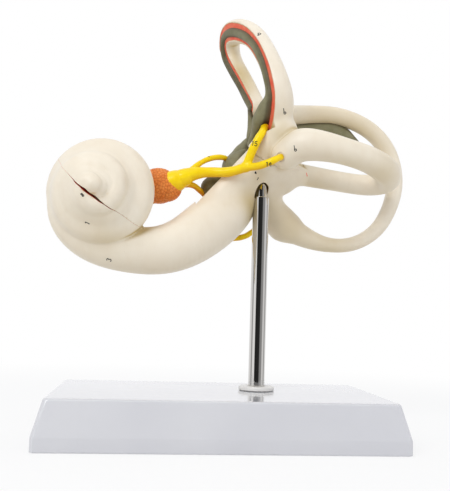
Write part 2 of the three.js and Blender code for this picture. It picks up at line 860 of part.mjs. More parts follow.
const model = new THREE.Group();
model.name = 'inner_ear_model';
for (const [name, body, material] of bodies) model.add(piece(name, body, material));

export default model;
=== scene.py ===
"""Looks of the inner ear teaching model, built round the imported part.

Shapes are worked out in millimetres and handed to Blender in metres, in the part's own frame.
"""

import json
import math

import bmesh
import bpy
import numpy as np
from mathutils import Matrix, Vector
from mathutils.bvhtree import BVHTree
from mathutils.kdtree import KDTree

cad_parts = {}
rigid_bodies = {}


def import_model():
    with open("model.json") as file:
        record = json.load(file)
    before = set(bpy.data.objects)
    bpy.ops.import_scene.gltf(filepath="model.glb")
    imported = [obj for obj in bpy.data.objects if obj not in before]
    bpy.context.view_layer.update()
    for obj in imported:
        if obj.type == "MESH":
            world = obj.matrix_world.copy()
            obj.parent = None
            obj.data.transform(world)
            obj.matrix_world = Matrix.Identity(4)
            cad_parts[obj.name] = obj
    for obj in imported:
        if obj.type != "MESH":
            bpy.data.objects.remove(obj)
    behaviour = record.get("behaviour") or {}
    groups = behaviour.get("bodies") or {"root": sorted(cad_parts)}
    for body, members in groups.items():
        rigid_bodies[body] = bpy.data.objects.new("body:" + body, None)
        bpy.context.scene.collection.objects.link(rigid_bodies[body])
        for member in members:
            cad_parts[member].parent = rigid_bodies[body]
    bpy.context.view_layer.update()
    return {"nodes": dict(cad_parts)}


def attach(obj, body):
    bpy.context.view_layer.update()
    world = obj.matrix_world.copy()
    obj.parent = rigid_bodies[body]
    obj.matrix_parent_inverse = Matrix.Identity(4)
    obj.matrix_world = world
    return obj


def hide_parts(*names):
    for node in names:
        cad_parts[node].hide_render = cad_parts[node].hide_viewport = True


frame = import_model()

MM = 0.001
FAR = 60.0  # mm, what an empty place in the clay reads
STEP = 0.8  # mm, how fine the bony pieces' clay is
CREVICE_ROUNDS, EVENING_ROUNDS = 40, 2
JOINT_STEP = 0.35  # mm, how far the body's fillets stay below the loops that they run into
CUTTER_SIZE = 400.0  # mm, more than the organ is long
LABYRINTH, LID, STAND, ROD = "labyrinth", "lid", "stand", "rod"  # the bodies that pieces ride on

# Sizes in millimetres; a station is a place on a tube's middle line, x, y and z, and the tube's radius there

GAP, SEAM_HAIR = 0.3, 0.035
BASE_LENGTH, BASE_DEPTH, BASE_HEIGHT = 200.0, 110.0, 26.5
SKIRT_HEIGHT, TOP_INSET, CORNER_RADIUS, TOP_EDGE = 7.5, 5.0, 3.0, 1.5
PLATE_THICKNESS, PLATE_LEDGE = 1.6, 1.2
POST = (24.0, 6.5)
POST_RADIUS, POST_BORE, POST_FOOT, POST_TOP = 5.0, 3.7, 10.8, 145.0
COLLAR_RADIUS, COLLAR_BOTTOM, COLLAR_TOP = 10.8, 26.8, 29.2
ROD_RADIUS, ROD_FOOT, ROD_TOP = 3.5, 100.0, 166.0
SOCKET_BOTTOM, SOCKET_RADIUS, SOCKET_TOP, SOCKET_CLEARANCE = 156.0, 4.4, 167.8, 0.1
POST_CLEARANCE = 0.12
MOUTH_CENTRE = (22.9, 6.0)
MOUTH = [(5.05, POST_TOP - 1), (5.05, 152), (4.9, 154.5), (2.5, 156.5)]  # radius, height

COCHLEA_CENTRE = np.array([-71.5, -16.0, 139.0])
COCHLEA_AXIS = np.array([-0.12, -1.0, -0.03])
COCHLEA_AXIS /= np.linalg.norm(COCHLEA_AXIS)
QUARTER_TURNS = np.array([  # reach from the axis, tube's radius, rise
    [21, 11, 0], [21.3, 10.4, 2.5], [20.2, 9.7, 5.5], [20.4, 9.6, 9.5], [17, 8.4, 14],
    [13.4, 7.1, 18], [10.3, 6.3, 21.5], [8.9, 6.2, 25], [5.6, 5.4, 28.5], [0.5, 5, 31.4],
])
CORE = [(-8, 12), (0, 17), (10, 15.5), (18, 12.5), (25, 8), (28, 4.5)]  # rise, radius
INNER_GROOVE = [  # quarter turns along, depth of the groove between one turn and the next
    (0.3, 0), (1, 1.2), (1.5, 2.6), (2.7, 2.7), (3.1, 1.9), (3.6, 0), (4.4, 0), (4.8, 2),
]
OUTER_GROOVE = [(-1.5, 3.4), (-1.1, 2.6), (-0.8, 1.7), (-0.35, 0)]
INNER_RIBS, OUTER_RIBS = 99, 30
SEAM_POINT = np.array([-75.9, -32.1, 137.3])
SEAM_NORMAL = np.array([math.sin(math.radians(37)), math.tan(math.radians(-12)), math.cos(math.radians(37))])
SEAM_NORMAL /= np.linalg.norm(SEAM_NORMAL)
SEAM_SIDE = np.cross(SEAM_NORMAL, COCHLEA_AXIS)
SEAM_SIDE /= np.linalg.norm(SEAM_SIDE)
CRACK_MIDDLE, CRACK_BACK, CRACK_FADE = 2.5, 8.0, 2.0  # along the seam, where it ends behind, how softly
CANAL_WALL, RECESS_DEPTH, PASSAGE_END, LAMINA = 2.3, 4.0, 7, 1.2
NERVE_CORE = [(-10, 3.2), (25, 1.4)]  # rise, radius
PEG_RADIUS, PEG_HALF, PEG_SPREAD, PEG_RISE = 1.5, 4.0, 7.0, -4.0

BASAL_TURN = [
    (-92.5, -16, 139, 11), (-88.3, -15.5, 122, 12.3), (-72, -14.5, 110.5, 13.2), (-44, -12, 107, 13.8),
    (-24.3, -6, 113, 15.3), (-7.2, 2, 126.4, 16.8), (5.6, 11.5, 138.7, 15.2), (13, 17, 151, 13),
]
CUSP = [(32, 17, 156.5, 9.2), (40.5, 19, 156.2, 6)]
FRONT_WALL = [(-4, 3.5, 139, 10), (4, 4.5, 151.5, 10), (12, 6, 163, 10)]
VESTIBULE = [
    (6, 12.5, 145, 12.3), (19, 8, 165, 13.3), (34, 10, 164, 12), (44, 16, 163.5, 9.5), (52.5, 21, 163.6, 7),
]
POSTERIOR_ROOT = [(24, 13.5, 159, 11.5), (30.8, 24, 144, 9.9), (42.6, 28.5, 131.2, 9.2)]
ANTERIOR_ROOT = [(32, -13, 182, 10.2), (23, -4, 170, 10.5)]
BULB_POINTS, LATERAL_END, POSTERIOR_END = 18, 9, 14  # points of the smooth rings that the body carries
LATERAL_RING = [
    (34.8, -16, 168, 9.1), (42.3, -22, 172.7, 9.9), (54.2, -26, 171.7, 8.9), (68, -26, 169.3, 7.9),
    (83.9, -20, 166.8, 8), (97.3, -10, 163.6, 8.4), (103.6, 0, 160.9, 8), (103.5, 10, 158.9, 7.2),
    (94.2, 18, 158.3, 6.7), (75.1, 22, 161, 6.6), (53.2, 21, 163.6, 7),
]
POSTERIOR_RING = [
    (25, 22.5, 202.6, 6.4), (30, 25.5, 203.7, 6.6), (42.2, 29, 205, 6.6), (59.4, 30, 206.7, 6.2),
    (80.3, 31, 207, 5.9), (100.6, 31, 199.2, 5.8), (113.9, 31, 184.6, 5.6), (118.9, 31, 165.3, 5.4),
    (115.4, 30.5, 146.8, 5.1), (105.7, 30, 130.3, 4.8), (90, 29.5, 120.6, 4.6), (73, 29.5, 119.3, 4.8),
    (57.8, 29, 123.4, 6.7), (42.6, 28.5, 130.9, 9),
]
ANTERIOR_TURN, ANTERIOR_LEAN = math.radians(16), math.radians(10)
ANTERIOR_CENTRE = np.array([17.3, 3.6, 223.2])
ANTERIOR_PLANE = [  # across, up, height over the ring's plane, height of the cut face, radius
    (-1, -42, -1.5, 4.6, 9.6), (13.5, -36.5, -1.2, 4.8, 10.5), (24.4, -25, -0.9, 4.8, 9.3),
    (26.1, -13, -0.5, 4.4, 7.6), (20.3, 3, 0, 4, 6.9), (8.5, 20, 0.6, 4.8, 7), (-10, 30.9, 1.5, 6.4, 7.8),
    (-26.8, 32.7, 1.4, 6.1, 7.6), (-32.6, 20, 0.2, 4, 7.3), (-22.9, 1, -1.8, 2, 7.3), (-9, -19, -2, 1.7, 6.6),
]
ANTERIOR_DUCT_SUNK = 1.2
CUT_SOFTNESS = 3.0  # how far the cut face's height is levelled along the ring
PAINT_DEPTH, PAINT_MARGIN = 0.22, 0.62
FAR_LIMB_TILT = math.radians(27)
FAR_LIMB_FOOT, FAR_LIMB_TOP = (-9, -19), (-32.6, 20)
ANTERIOR_AMPULLA = [(19.6, -3, 183.5, 4.4), (20.9, -10, 189.5, 6.2), (22.6, -17, 197, 4.4), (24, -20.5, 204, 3)]
ANTERIOR_DUCT = [  # beyond the swelling: how far inside the ring's middle line, radius
    (0.9, 3.1), (0.9, 3.1), (0.8, 3), (0.3, 2.9), (-0.4, 2.9), (0.2, 3.2), (0, 2.8),
]
ANTERIOR_DUCT_FOOT = (17, 1, 177, 3.4)
POSTERIOR_CUT_Y, POSTERIOR_MIDDLE_Z, POSTERIOR_DUCT_SUNK, POSTERIOR_DUCT_DIVE = 33.5, 165.0, 0.9, 3.0
POSTERIOR_DUCT_RADII = [2.3] * 11 + [2.5, 3.8, 5.4]
ANTERIOR_SEAM = (np.array([22.0, -8.5, 167.5]), np.array([0.398, -0.52, 0.755]))  # a place on it, its normal
LATERAL_SEAM_X, LATERAL_MIDDLE_Y, POSTERIOR_SEAM_X = 52.5, 5.0, 43.5
OPENING = (np.array([-1.0, -6, 155.6]), np.array([-0.752, 0, 0.659]))
OPENING_LEFT, OPENING_RISE, OPENING_FALL, OPENING_LEVEL = -17.5, 0.07, 0.3, 8.0
UPPER_LIMB = 165.0

UTRICLE = [(17.5, 16, 180.5, 4.8), (13, 15, 174, 6.4), (8, 13, 166, 7)]
UTRICLE_FRONT = [(17.5, 8.5, 172.5, 3.6), (13, 8.5, 169.6, 6), (7.8, 8.5, 163.6, 8.6)]
SACCULE = [(-1, 10, 154, 7), (-7, 8, 149.8, 6.8)]
COMMON_CRUS = [(17, 15.5, 205, 1.9), (17.7, 15, 194, 2.3), (17.5, 12.5, 184, 3)]
SAC = [
    (18.5, 14.5, 186.3, 1.6), (24, 18.5, 186.8, 1.5), (31, 27, 189.5, 1.8), (42, 31, 194, 3.2),
    (56, 32, 197, 6.4), (70, 32, 197.2, 7), (82, 32.5, 194.8, 6.2), (93, 33, 189, 2.4),
]
SAC_FLATNESS = 0.55
GANGLION = [(-46, 4, 148.6, 8.4), (-40, 3.5, 148.6, 10.8), (-34.5, 2, 147.8, 8.6)]
TRUNK = [
    (-31.5, 0, 150.6, 7.2), (-27, -1, 152.4, 5.9), (-19.5, -3, 156, 4), (-8.3, -4, 157.3, 3),
    (1.9, -8, 157, 3), (11.2, -13.5, 159.5, 2.8),
]
ANTERIOR_BRANCH = [
    (11.2, -13.5, 159.5, 2.7), (14, -16.5, 168, 2.6), (17.5, -18.5, 176, 2.4), (20.6, -16.5, 181, 2.4),
    (22.5, -11.5, 186, 2.4),
]
# Where the front nerve goes into its swelling; the membranes get a painted shadow round it
NERVE_ENTRY = (22, -15.5, 183.5)
LATERAL_HOLE = 0.75  # how much wider the hole is than the nerve that enters it
LATERAL_BRANCH = [
    (11.2, -13.5, 159.5, 2.4), (17.5, -20, 159, 2.3), (24.5, -26, 161, 2.1), (30, -23.5, 164.4, 2),
    (33, -18, 165.6, 2),
]
UTRICULAR_BRANCH = [
    (-21.4, -3, 156.6, 2.4), (-16.7, -1.5, 162, 1.7), (-9.3, 0, 166.6, 1.7), (-1.5, 3, 168.4, 1.7),
    (2.5, 8, 168, 1.7),
]
SACCULAR_BRANCH = [
    (-29, -1, 147.6, 2.4), (-24.7, 0, 149.6, 2), (-18.6, 2.5, 149.8, 1.8), (-14.3, 5, 147, 1.7),
    (-11, 8.5, 145, 1.7),
]
AMPULLARY_BRANCH = [
    (-41, 4.5, 140, 1.8), (-47, 6.5, 137.6, 1.8), (-56, 12, 131, 1.8), (-56, 18, 121, 1.8), (-42, 20, 113, 1.8),
    (-22, 20, 114, 1.8), (-6, 20, 118.3, 1.8), (3, 20, 119.6, 1.8), (10, 20.5, 120.2, 1.8),
    (17, 21.5, 122, 1.8), (23, 24, 126.5, 1.8), (32, 27, 132, 1.8),
]
COCHLEAR_TAIL = [
    (-70, -6, 139, 3.2), (-69, 1, 138, 3), (-60, 7, 137, 3), (-52, 6.5, 138, 2.8), (-46, 5.5, 140.5, 2.6),
]


# Curves

def bend(a, b, c, d, t):
    """A place on the smooth line from b to c, which comes from a and goes on to d."""
    return b + 0.5 * t * (c - a + t * (2 * a - 5 * b + 4 * c - d + t * (3 * (b - c) + d - a)))


def through(stations, per_span=8):
    """Points on a smooth line through the stations; every column is carried along, the radius too."""
    s = np.array(stations, float)
    s = np.vstack([2 * s[0] - s[1], s, 2 * s[-1] - s[-2]])
    t = np.linspace(0, 1, per_span, endpoint=False)[:, None]
    rows = [bend(*four, t) for four in zip(s, s[1:], s[2:], s[3:])]
    rows = np.vstack(rows + [s[-2:-1]])
    for _ in range(per_span):
        rows[1:-1] = (rows[:-2] + 2 * rows[1:-1] + rows[2:]) / 4
    return rows


def on_axis(rise):
    return COCHLEA_CENTRE + rise * COCHLEA_AXIS


def spiral_station(turn):
    """Middle and radius of the cochlea's tube, so many quarter turns along."""
    last = len(QUARTER_TURNS) - 1
    turn = min(turn, last)
    i = min(int(turn), last - 1)
    four = (QUARTER_TURNS[max(0, min(last, i + k))] for k in (-1, 0, 1, 2))
    reach, tube, rise = bend(*four, turn - i)
    angle = math.pi + turn * math.pi / 2
    x, y, z = on_axis(rise)
    return np.array([x + reach * math.cos(angle), y, z - reach * math.sin(angle), tube])


def spiral(start, end, per_quarter=10):
    count = max(2, round((end - start) * per_quarter) + 1)
    return np.array([spiral_station(t) for t in np.linspace(start, end, count)])


ANTERIOR_NORMAL = np.array([
    -math.cos(ANTERIOR_TURN) * math.cos(ANTERIOR_LEAN),
    -math.sin(ANTERIOR_TURN) * math.cos(ANTERIOR_LEAN),
    -math.sin(ANTERIOR_LEAN),
])
ANTERIOR_ACROSS = np.array([math.sin(ANTERIOR_TURN), -math.cos(ANTERIOR_TURN), 0])
ANTERIOR_UP = np.cross(ANTERIOR_NORMAL, ANTERIOR_ACROSS)


def in_anterior_plane(across, up, lift):
    return ANTERIOR_CENTRE + across * ANTERIOR_ACROSS + up * ANTERIOR_UP + lift * ANTERIOR_NORMAL


ANTERIOR_RING = [(*in_anterior_plane(a, u, lift), r) for a, u, lift, _, r in ANTERIOR_PLANE]


def anterior_duct_stations():
    stations = [ANTERIOR_DUCT_FOOT, *ANTERIOR_AMPULLA]
    for (across, up, *_), (inset, radius) in zip(ANTERIOR_PLANE[4:], ANTERIOR_DUCT):
        inward = 1 - inset / math.hypot(across, up)
        lift = anterior_lift(across, up) - ANTERIOR_DUCT_SUNK
        place = in_anterior_plane(across * inward, up * inward, lift)
        stations.append((*place, radius))
    return stations


def posterior_duct_stations():
    """Along the cut face, and into the canal where the loop leaves the cut's plane."""
    face = POSTERIOR_CUT_Y - POSTERIOR_DUCT_SUNK
    return [(x, min(face, y + POSTERIOR_DUCT_DIVE), z, r)
            for (x, y, z, _), r in zip(POSTERIOR_RING, POSTERIOR_DUCT_RADII)]


# Clay: a block of space that holds the distance to the shape laid down in it

def soft_min(a, b, blend):
    """The nearer of two distances, rounded off over the blend where they meet."""
    if blend <= 0:
        return np.minimum(a, b)
    h = np.clip(0.5 + 0.5 * (b - a) / blend, 0, 1)
    return b + (a - b) * h - blend * h * (1 - h)


def split_patterns():
    """For each of the 256 ways a cell's corners lie in or out, whether either kind falls apart."""
    def falls_apart(members):
        found, queue = set(), list(members[:1])
        while queue:
            corner = queue.pop()
            if corner not in found:
                found.add(corner)
                queue += [corner ^ bit for bit in (1, 2, 4) if corner ^ bit in members]
        return len(found) < len(members)

    def corners(pattern, kind):
        return [c for c in range(8) if (pattern >> c & 1) == kind]

    return np.array([falls_apart(corners(p, 1)) or falls_apart(corners(p, 0)) for p in range(256)])


def span(points, margin):
    """The box round tubes that run through points with their radii, and the margin."""
    return (points[:, :3] - points[:, 3:]).min(0) - margin, (points[:, :3] + points[:, 3:]).max(0) + margin


SPLIT_PATTERNS = split_patterns()
CORNERS = [(x, y, z) for x in (0, 1) for y in (0, 1) for z in (0, 1)]


class Clay:
    """Shapes grow by laying tubes in it; below 0 is inside."""

    def __init__(self, low, high, step):
        self.step = step
        self.low = np.array(low, float) - 3 * step
        count = np.ceil((np.array(high, float) - self.low) / step).astype(int) + 4
        self.axes = [(self.low[i] + step * np.arange(count[i])).astype(np.float32) for i in range(3)]
        self.depth = np.full(count, FAR, np.float32)

    @classmethod
    def around(cls, chains, step, margin):
        low, high = span(np.vstack([np.array(c, float) for c in chains]), margin)
        return cls(low, high, step)

    def window(self, low, high):
        """The part of the grid that holds a box."""
        cut = []
        for i in range(3):
            start = int(np.clip((low[i] - self.low[i]) / self.step, 0, len(self.axes[i]) - 1))
            stop = int(np.clip((high[i] - self.low[i]) / self.step + 2, 1, len(self.axes[i])))
            cut.append(slice(start, max(stop, start + 1)))
        return tuple(cut)

    def chain(self, points, margin, flat=1.0):
        """Window and distances of a tube that runs through dense points with their radii."""
        points = np.array(points, np.float32)
        outer = self.window(*span(points, margin))
        own = np.full([s.stop - s.start for s in outer], FAR, np.float32)
        for a, b in zip(points, points[1:]):
            reach = max(a[3], b[3]) + margin
            inner = self.window(np.minimum(a, b)[:3] - reach, np.maximum(a, b)[:3] + reach)
            inner = tuple(slice(max(i.start, o.start), min(i.stop, o.stop)) for i, o in zip(inner, outer))
            x, y, z = (self.axes[i][inner[i]] - a[i] for i in range(3))
            x, y, z = x[:, None, None], y[None, :, None], z[None, None, :]
            along = b[:3] - a[:3]
            t = np.clip((x * along[0] + y * along[1] + z * along[2]) / max(float(along @ along), 1e-9), 0, 1)
            off_y = (y - t * along[1]) / flat
            away = np.sqrt((x - t * along[0]) ** 2 + off_y ** 2 + (z - t * along[2]) ** 2)
            place = tuple(slice(i.start - o.start, i.stop - o.start) for i, o in zip(inner, outer))
            own[place] = np.minimum(own[place], away - (a[3] + t * (b[3] - a[3])))
        return outer, own

    def lay(self, points, blend=0.0, flat=1.0):
        window, own = self.chain(points, blend + 3 * self.step + 1, flat)
        self.depth[window] = soft_min(self.depth[window], own, blend)
        return self

    def read(self, points):
        """Distances at any points, between the grid's own."""
        at = (points - self.low) / self.step
        at = np.clip(at, 0, np.array(self.depth.shape) - 1.001)
        i = at.astype(int)
        f = at - i
        total = 0
        for corner in CORNERS:
            weight = np.where(corner, f, 1 - f).prod(1)
            total = total + weight * self.depth[tuple((i + corner).T)]
        return total

    def slope(self, points):
        """How fast the distance grows along x, y and z."""
        reach = 0.6 * self.step
        steps = np.eye(3) * reach
        return np.stack([(self.read(points + s) - self.read(points - s)) / (2 * reach) for s in steps], 1)

    def settle(self, points, times=2):
        """Moves points onto the surface."""
        for _ in range(times):
            slope = self.slope(points)
            away = np.clip(self.read(points), -0.5 * self.step, 0.5 * self.step)
            points = points - slope * (away / np.maximum((slope ** 2).sum(1), 0.2))[:, None]
        return points

    def fill_crevices(self):
        """Closes the cells that two sheets of the surface would share, so that it stays one skin."""
        shape = np.array(self.depth.shape) - 1
        for _ in range(CREVICE_ROUNDS):
            inside = self.depth < 0
            pattern = np.zeros(shape, np.uint8)
            for bit, (x, y, z) in enumerate(CORNERS):
                corner = inside[x:x + shape[0], y:y + shape[1], z:z + shape[2]]
                pattern |= corner.astype(np.uint8) << bit
            at = np.argwhere(SPLIT_PATTERNS[pattern])
            if not len(at):
                return
            for corner in CORNERS:
                place = tuple((at + corner).T)
                self.depth[place] = np.minimum(self.depth[place], -0.02 * self.step)

    def surface(self):
        """Vertices in millimetres and four-sided faces of the clay's surface."""
        self.fill_crevices()
        inside = self.depth < 0
        shape = np.array(self.depth.shape) - 1
        stride = np.array([shape[1] * shape[2], shape[2], 1])
        cells, crossings, quads = [], [], []
        for axis in range(3):
            near = tuple(slice(0, -1) if k == axis else slice(None) for k in range(3))
            far = tuple(slice(1, None) if k == axis else slice(None) for k in range(3))
            at = np.argwhere(inside[near] != inside[far])
            sides = [k for k in range(3) if k != axis]
            at = at[((at > 0) & (at < shape))[:, sides].all(1)]
            step = np.zeros(3, int)
            step[axis] = 1
            d0 = self.depth[tuple(at.T)]
            d1 = self.depth[tuple((at + step).T)]
            point = at.astype(float)
            point[:, axis] += d0 / (d0 - d1)
            u, v = (axis + 1) % 3, (axis + 2) % 3
            ring = []
            for du, dv in ((0, 0), (1, 0), (1, 1), (0, 1)):
                cell = at.copy()
                cell[:, u] -= du
                cell[:, v] -= dv
                ring.append(cell @ stride)
            ring = np.stack(ring, 1)
            turned = d0 >= 0
            ring[turned] = ring[turned][:, ::-1]
            quads.append(ring)
            for k in range(4):
                cells.append(ring[:, k])
                crossings.append(point)
        cells, crossings, quads = np.concatenate(cells), np.vstack(crossings), np.vstack(quads)
        used, where = np.unique(cells, return_inverse=True)
        count = np.bincount(where)
        middle = np.stack([np.bincount(where, crossings[:, k]) / count for k in range(3)], 1)
        faces = np.searchsorted(used, quads)
        points = self.settle(self.low + self.step * middle)
        for _ in range(EVENING_ROUNDS):
            points = self.settle(evened(points, faces), 1)
        return points, faces


def evened(points, faces):
    """Points moved half of the way to the middle of their neighbours."""
    total = np.zeros_like(points)
    count = np.zeros(len(points))
    for k in range(4):
        a, b = faces[:, k], faces[:, (k + 1) % 4]
        for one, other in ((a, b), (b, a)):
            for axis in range(3):
                total[:, axis] += np.bincount(one, points[other, axis], len(points))
            count += np.bincount(one, minlength=len(points))
    return points + 0.5 * (total / np.maximum(count, 1)[:, None] - points)


# Meshes

def mesh_of(name, points, faces, *materials):
    """A Blender mesh from millimetre points and faces that all have the same number of corners."""
    mesh = bpy.data.meshes.new(name)
    faces = np.asarray(faces)
    sides = faces.shape[1]
    mesh.vertices.add(len(points))
    mesh.vertices.foreach_set("co", (np.asarray(points) * MM).astype(np.float32).ravel())
    mesh.loops.add(faces.size)
    mesh.loops.foreach_set("vertex_index", faces.astype(np.int32).ravel())
    mesh.polygons.add(len(faces))
    mesh.polygons.foreach_set("loop_start", np.arange(0, faces.size, sides, dtype=np.int32))
    mesh.update(calc_edges=True)
    mesh.validate()
    for material in materials:
        mesh.materials.append(material)
    return mesh


def object_of(mesh):
    made = bpy.data.objects.new(mesh.name, mesh)
    bpy.context.scene.collection.objects.link(made)
    return made


def from_clay(name, clay, material):
    return object_of(mesh_of(name, *clay.surface(), material))


def discard(*objects):
    for o in objects:
        mesh = o.data
        bpy.data.objects.remove(o)
        if mesh.users == 0:
            bpy.data.meshes.remove(mesh)


def modified(piece):
    """A new mesh of what the piece's modifiers make of it."""
    return bpy.data.meshes.new_from_object(piece.evaluated_get(bpy.context.evaluated_depsgraph_get()))


def carve(piece, operation, *cutters):
    """Cuts or keeps by other closed meshes; a new face takes the cutter's first material."""
    for cutter in cutters:
        step = piece.modifiers.new("cut", "BOOLEAN")
        step.operation = operation
        step.object = cutter
        step.solver = "MANIFOLD"
        step.material_mode = "TRANSFER"
        settled = modified(piece)
        if len(settled.polygons) in (0, len(piece.data.polygons)):
            bpy.data.meshes.remove(settled)
            step.solver = "EXACT"
            settled = modified(piece)
        piece.modifiers.clear()
        old = piece.data
        piece.data = settled
        settled.name = piece.name
        bpy.data.meshes.remove(old)
    return piece


def block_beyond(point, normal, material, offset=0.0):
    """A block with one face on the plane, filling the side the normal points to."""
    normal = Vector(normal).normalized()
    turn = normal.to_track_quat("Z", "Y").to_matrix().to_4x4()
    corners = [(x, y, z) for z in (0, 1) for x, y in ((-0.5, -0.5), (0.5, -0.5), (0.5, 0.5), (-0.5, 0.5))]
    place = Matrix.Translation(Vector(point)) @ turn
    size = CUTTER_SIZE
    points = [place @ Vector((size * x, size * y, size * z + offset)) for x, y, z in corners]
    faces = [(3, 2, 1, 0), (4, 5, 6, 7), (0, 1, 5, 4), (1, 2, 6, 5), (2, 3, 7, 6), (3, 0, 4, 7)]
    return object_of(mesh_of("block", np.array(points), faces, material))


def rings_to_mesh(name, rings, *materials):
    """A closed body from rings of points, anticlockwise seen from ahead, each end closed by a fan."""
    count = len(rings[0])
    points = np.vstack([np.vstack(rings), np.mean(rings[0], 0), np.mean(rings[-1], 0)])
    triangles = []
    for i in range(len(rings) - 1):
        for k in range(count):
            a, b = i * count + k, i * count + (k + 1) % count
            triangles += [(a, b, b + count), (a, b + count, a + count)]
    foot = len(rings) * count
    for k in range(count):
        j = (k + 1) % count
        triangles += [(foot, j, k), (foot + 1, foot - count + k, foot - count + j)]
    return object_of(mesh_of(name, points, triangles, *materials))


def turned_round(name, profile, material, steps=96, centre=POST):
    """A body turned round an upright axis, the post's unless told, from (radius, height) points."""
    angles = np.linspace(0, 2 * math.pi, steps, endpoint=False)
    circle = np.stack([np.cos(angles), np.sin(angles)], 1)
    rings = [np.column_stack([centre[0] + r * circle[:, 0], centre[1] + r * circle[:, 1], np.full(steps, z)])
             for r, z in profile]
    return rings_to_mesh(name, rings, material)


def rod_cutter(radius, bottom, top, material):
    return turned_round("bore", [(radius, bottom), (radius, top)], material, 64)


def surface_arrays(piece):
    """The piece's vertices in millimetres and their normals."""
    mesh = piece.data
    count = len(mesh.vertices)
    points = np.empty(count * 3, np.float32)
    mesh.vertices.foreach_get("co", points)
    normals = np.empty(count * 3, np.float32)
    mesh.vertices.foreach_get("normal", normals)
    return points.reshape(-1, 3).astype(float) / MM, normals.reshape(-1, 3).astype(float)


def store(piece, name, values):
    """Keeps a number from 0 to 1 at each vertex, for the piece's material."""
    attribute = piece.data.attributes.get(name) or piece.data.attributes.new(name, "FLOAT", "POINT")
    attribute.data.foreach_set("value", np.clip(values, 0, 1).astype(np.float32))


def finish_piece(piece, body, *nodes, slot=None, angle=38):
    """Smooth shading with crisp cut edges, then the piece's body, and the nodes it stands for hidden; slot is
    not used.
    """
    piece.data.shade_smooth()
    piece.data.set_sharp_from_angle(angle=math.radians(angle))
    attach(piece, body)
    if nodes:
        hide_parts(*nodes)
    return piece


# Shader maths

class Amount:
    """A number that varies over a surface, so that its maths can be written as Python."""

    def __init__(self, nodes, socket):
        self.nodes = nodes
        self.socket = socket

    def _math(self, operation, first, second):
        node = self.nodes.node("ShaderNodeMath", {"operation": operation}, {0: first, 1: second})
        return Amount(self.nodes, node.outputs[0])

    def __add__(self, other):
        return self._math("ADD", self, other)

    __radd__ = __add__

    def __mul__(self, other):
        return self._math("MULTIPLY", self, other)

    __rmul__ = __mul__

    def between(self, low, high):
        """0 below low, 1 above high, smooth between."""
        node = self.nodes.node("ShaderNodeMapRange", {"interpolation_type": "SMOOTHSTEP"},
                               {"Value": self, "From Min": low, "From Max": high})
        return Amount(self.nodes, node.outputs[0])


class Nodes:
    """The node tree of a material or of the room, under construction."""

    def __init__(self, tree, place):
        self.tree = tree
        self.place = self.node("ShaderNodeTexCoord").outputs[place]

    def node(self, kind, settings=None, values=None):
        """A node with its settings, a ramp's stops among them, and what its sockets hold or are fed by."""
        made = self.tree.nodes.new(kind)
        for key, value in (settings or {}).items():
            if key == "stops":
                self.set_stops(made.color_ramp.elements, value)
            else:
                setattr(made, key, value)
        for key, value in (values or {}).items():
            self.feed(made.inputs[key], value)
        return made

    def set_stops(self, stops, wanted):
        """Sets a ramp's stops from (place, colour) pairs, the first of them at 0."""
        stops.remove(stops[1])
        for i, (place, colour) in enumerate(wanted):
            stop = stops.new(place) if i else stops[0]
            stop.color = colour

    def feed(self, target, value):
        if isinstance(value, Amount):
            value = value.socket
        if isinstance(value, bpy.types.NodeSocket):
            self.tree.links.new(value, target)
        else:
            target.default_value = value

    def mix(self, share, first, second):
        """One colour into another."""
        node = self.node("ShaderNodeMix", {"data_type": "RGBA"}, {0: share})
        colours = [i for i in node.inputs if i.type == "RGBA"]
        for target, value in zip(colours, (first, second)):
            self.feed(target, (*value, 1) if isinstance(value, tuple) else value)
        return next(o for o in node.outputs if o.type == "RGBA")


class Finish(Nodes):
    """A material under construction."""

    def __init__(self, name, **constants):
        self.material = bpy.data.materials.new(name)
        self.material.use_nodes = True
        super().__init__(self.material.node_tree, "Object")
        self.shader = self.tree.nodes["Principled BSDF"]
        for key, value in constants.items():
            self.shader.inputs[key.replace("_", " ")].default_value = value

    def noise(self, size, detail, roughness, stretch=(1, 1, 1), shift=0.0):
        """Soft noise; size is that of its patches in millimetres."""
        place = self.place
        if stretch != (1, 1, 1) or shift:
            mapped = self.node("ShaderNodeMapping", values={"Vector": place, "Scale": stretch,
                                                            "Location": (shift, shift, shift)})
            place = mapped.outputs[0]
        node = self.node("ShaderNodeTexNoise", values={"Vector": place, "Scale": 1 / (size * MM),
                                                       "Detail": detail, "Roughness": roughness})
        return Amount(self, node.outputs["Fac"])

    def attribute(self, name):
        node = self.node("ShaderNodeAttribute", {"attribute_name": name})
        return Amount(self, node.outputs["Fac"])

    def wear(self, tone, rough, height, strength, distance):
        """Colour, roughness and relief, its distance in millimetres, and the material is done."""
        bump = self.node("ShaderNodeBump", values={"Height": height, "Strength": strength,
                                                   "Distance": distance * MM})
        for name, value in (("Base Color", tone), ("Roughness", rough), ("Normal", bump.outputs[0])):
            self.feed(self.shader.inputs[name], value)
        return self.material

    def grain(self, grain, first, second, rough, rougher, strength, distance):
        """One grain in colour, roughness and relief."""
        tone = self.mix(grain.between(0.3, 0.7), first, second)
        return self.wear(tone, rough + rougher * grain, grain, strength, distance)


def rgb(red, green, blue):
    """A colour as seen on a screen, 0 to 255, as the shader takes it."""
    def straight(c):
        c /= 255
        return c / 12.92 if c <= 0.04045 else ((c + 0.055) / 1.055) ** 2.4
    return (straight(red), straight(green), straight(blue))


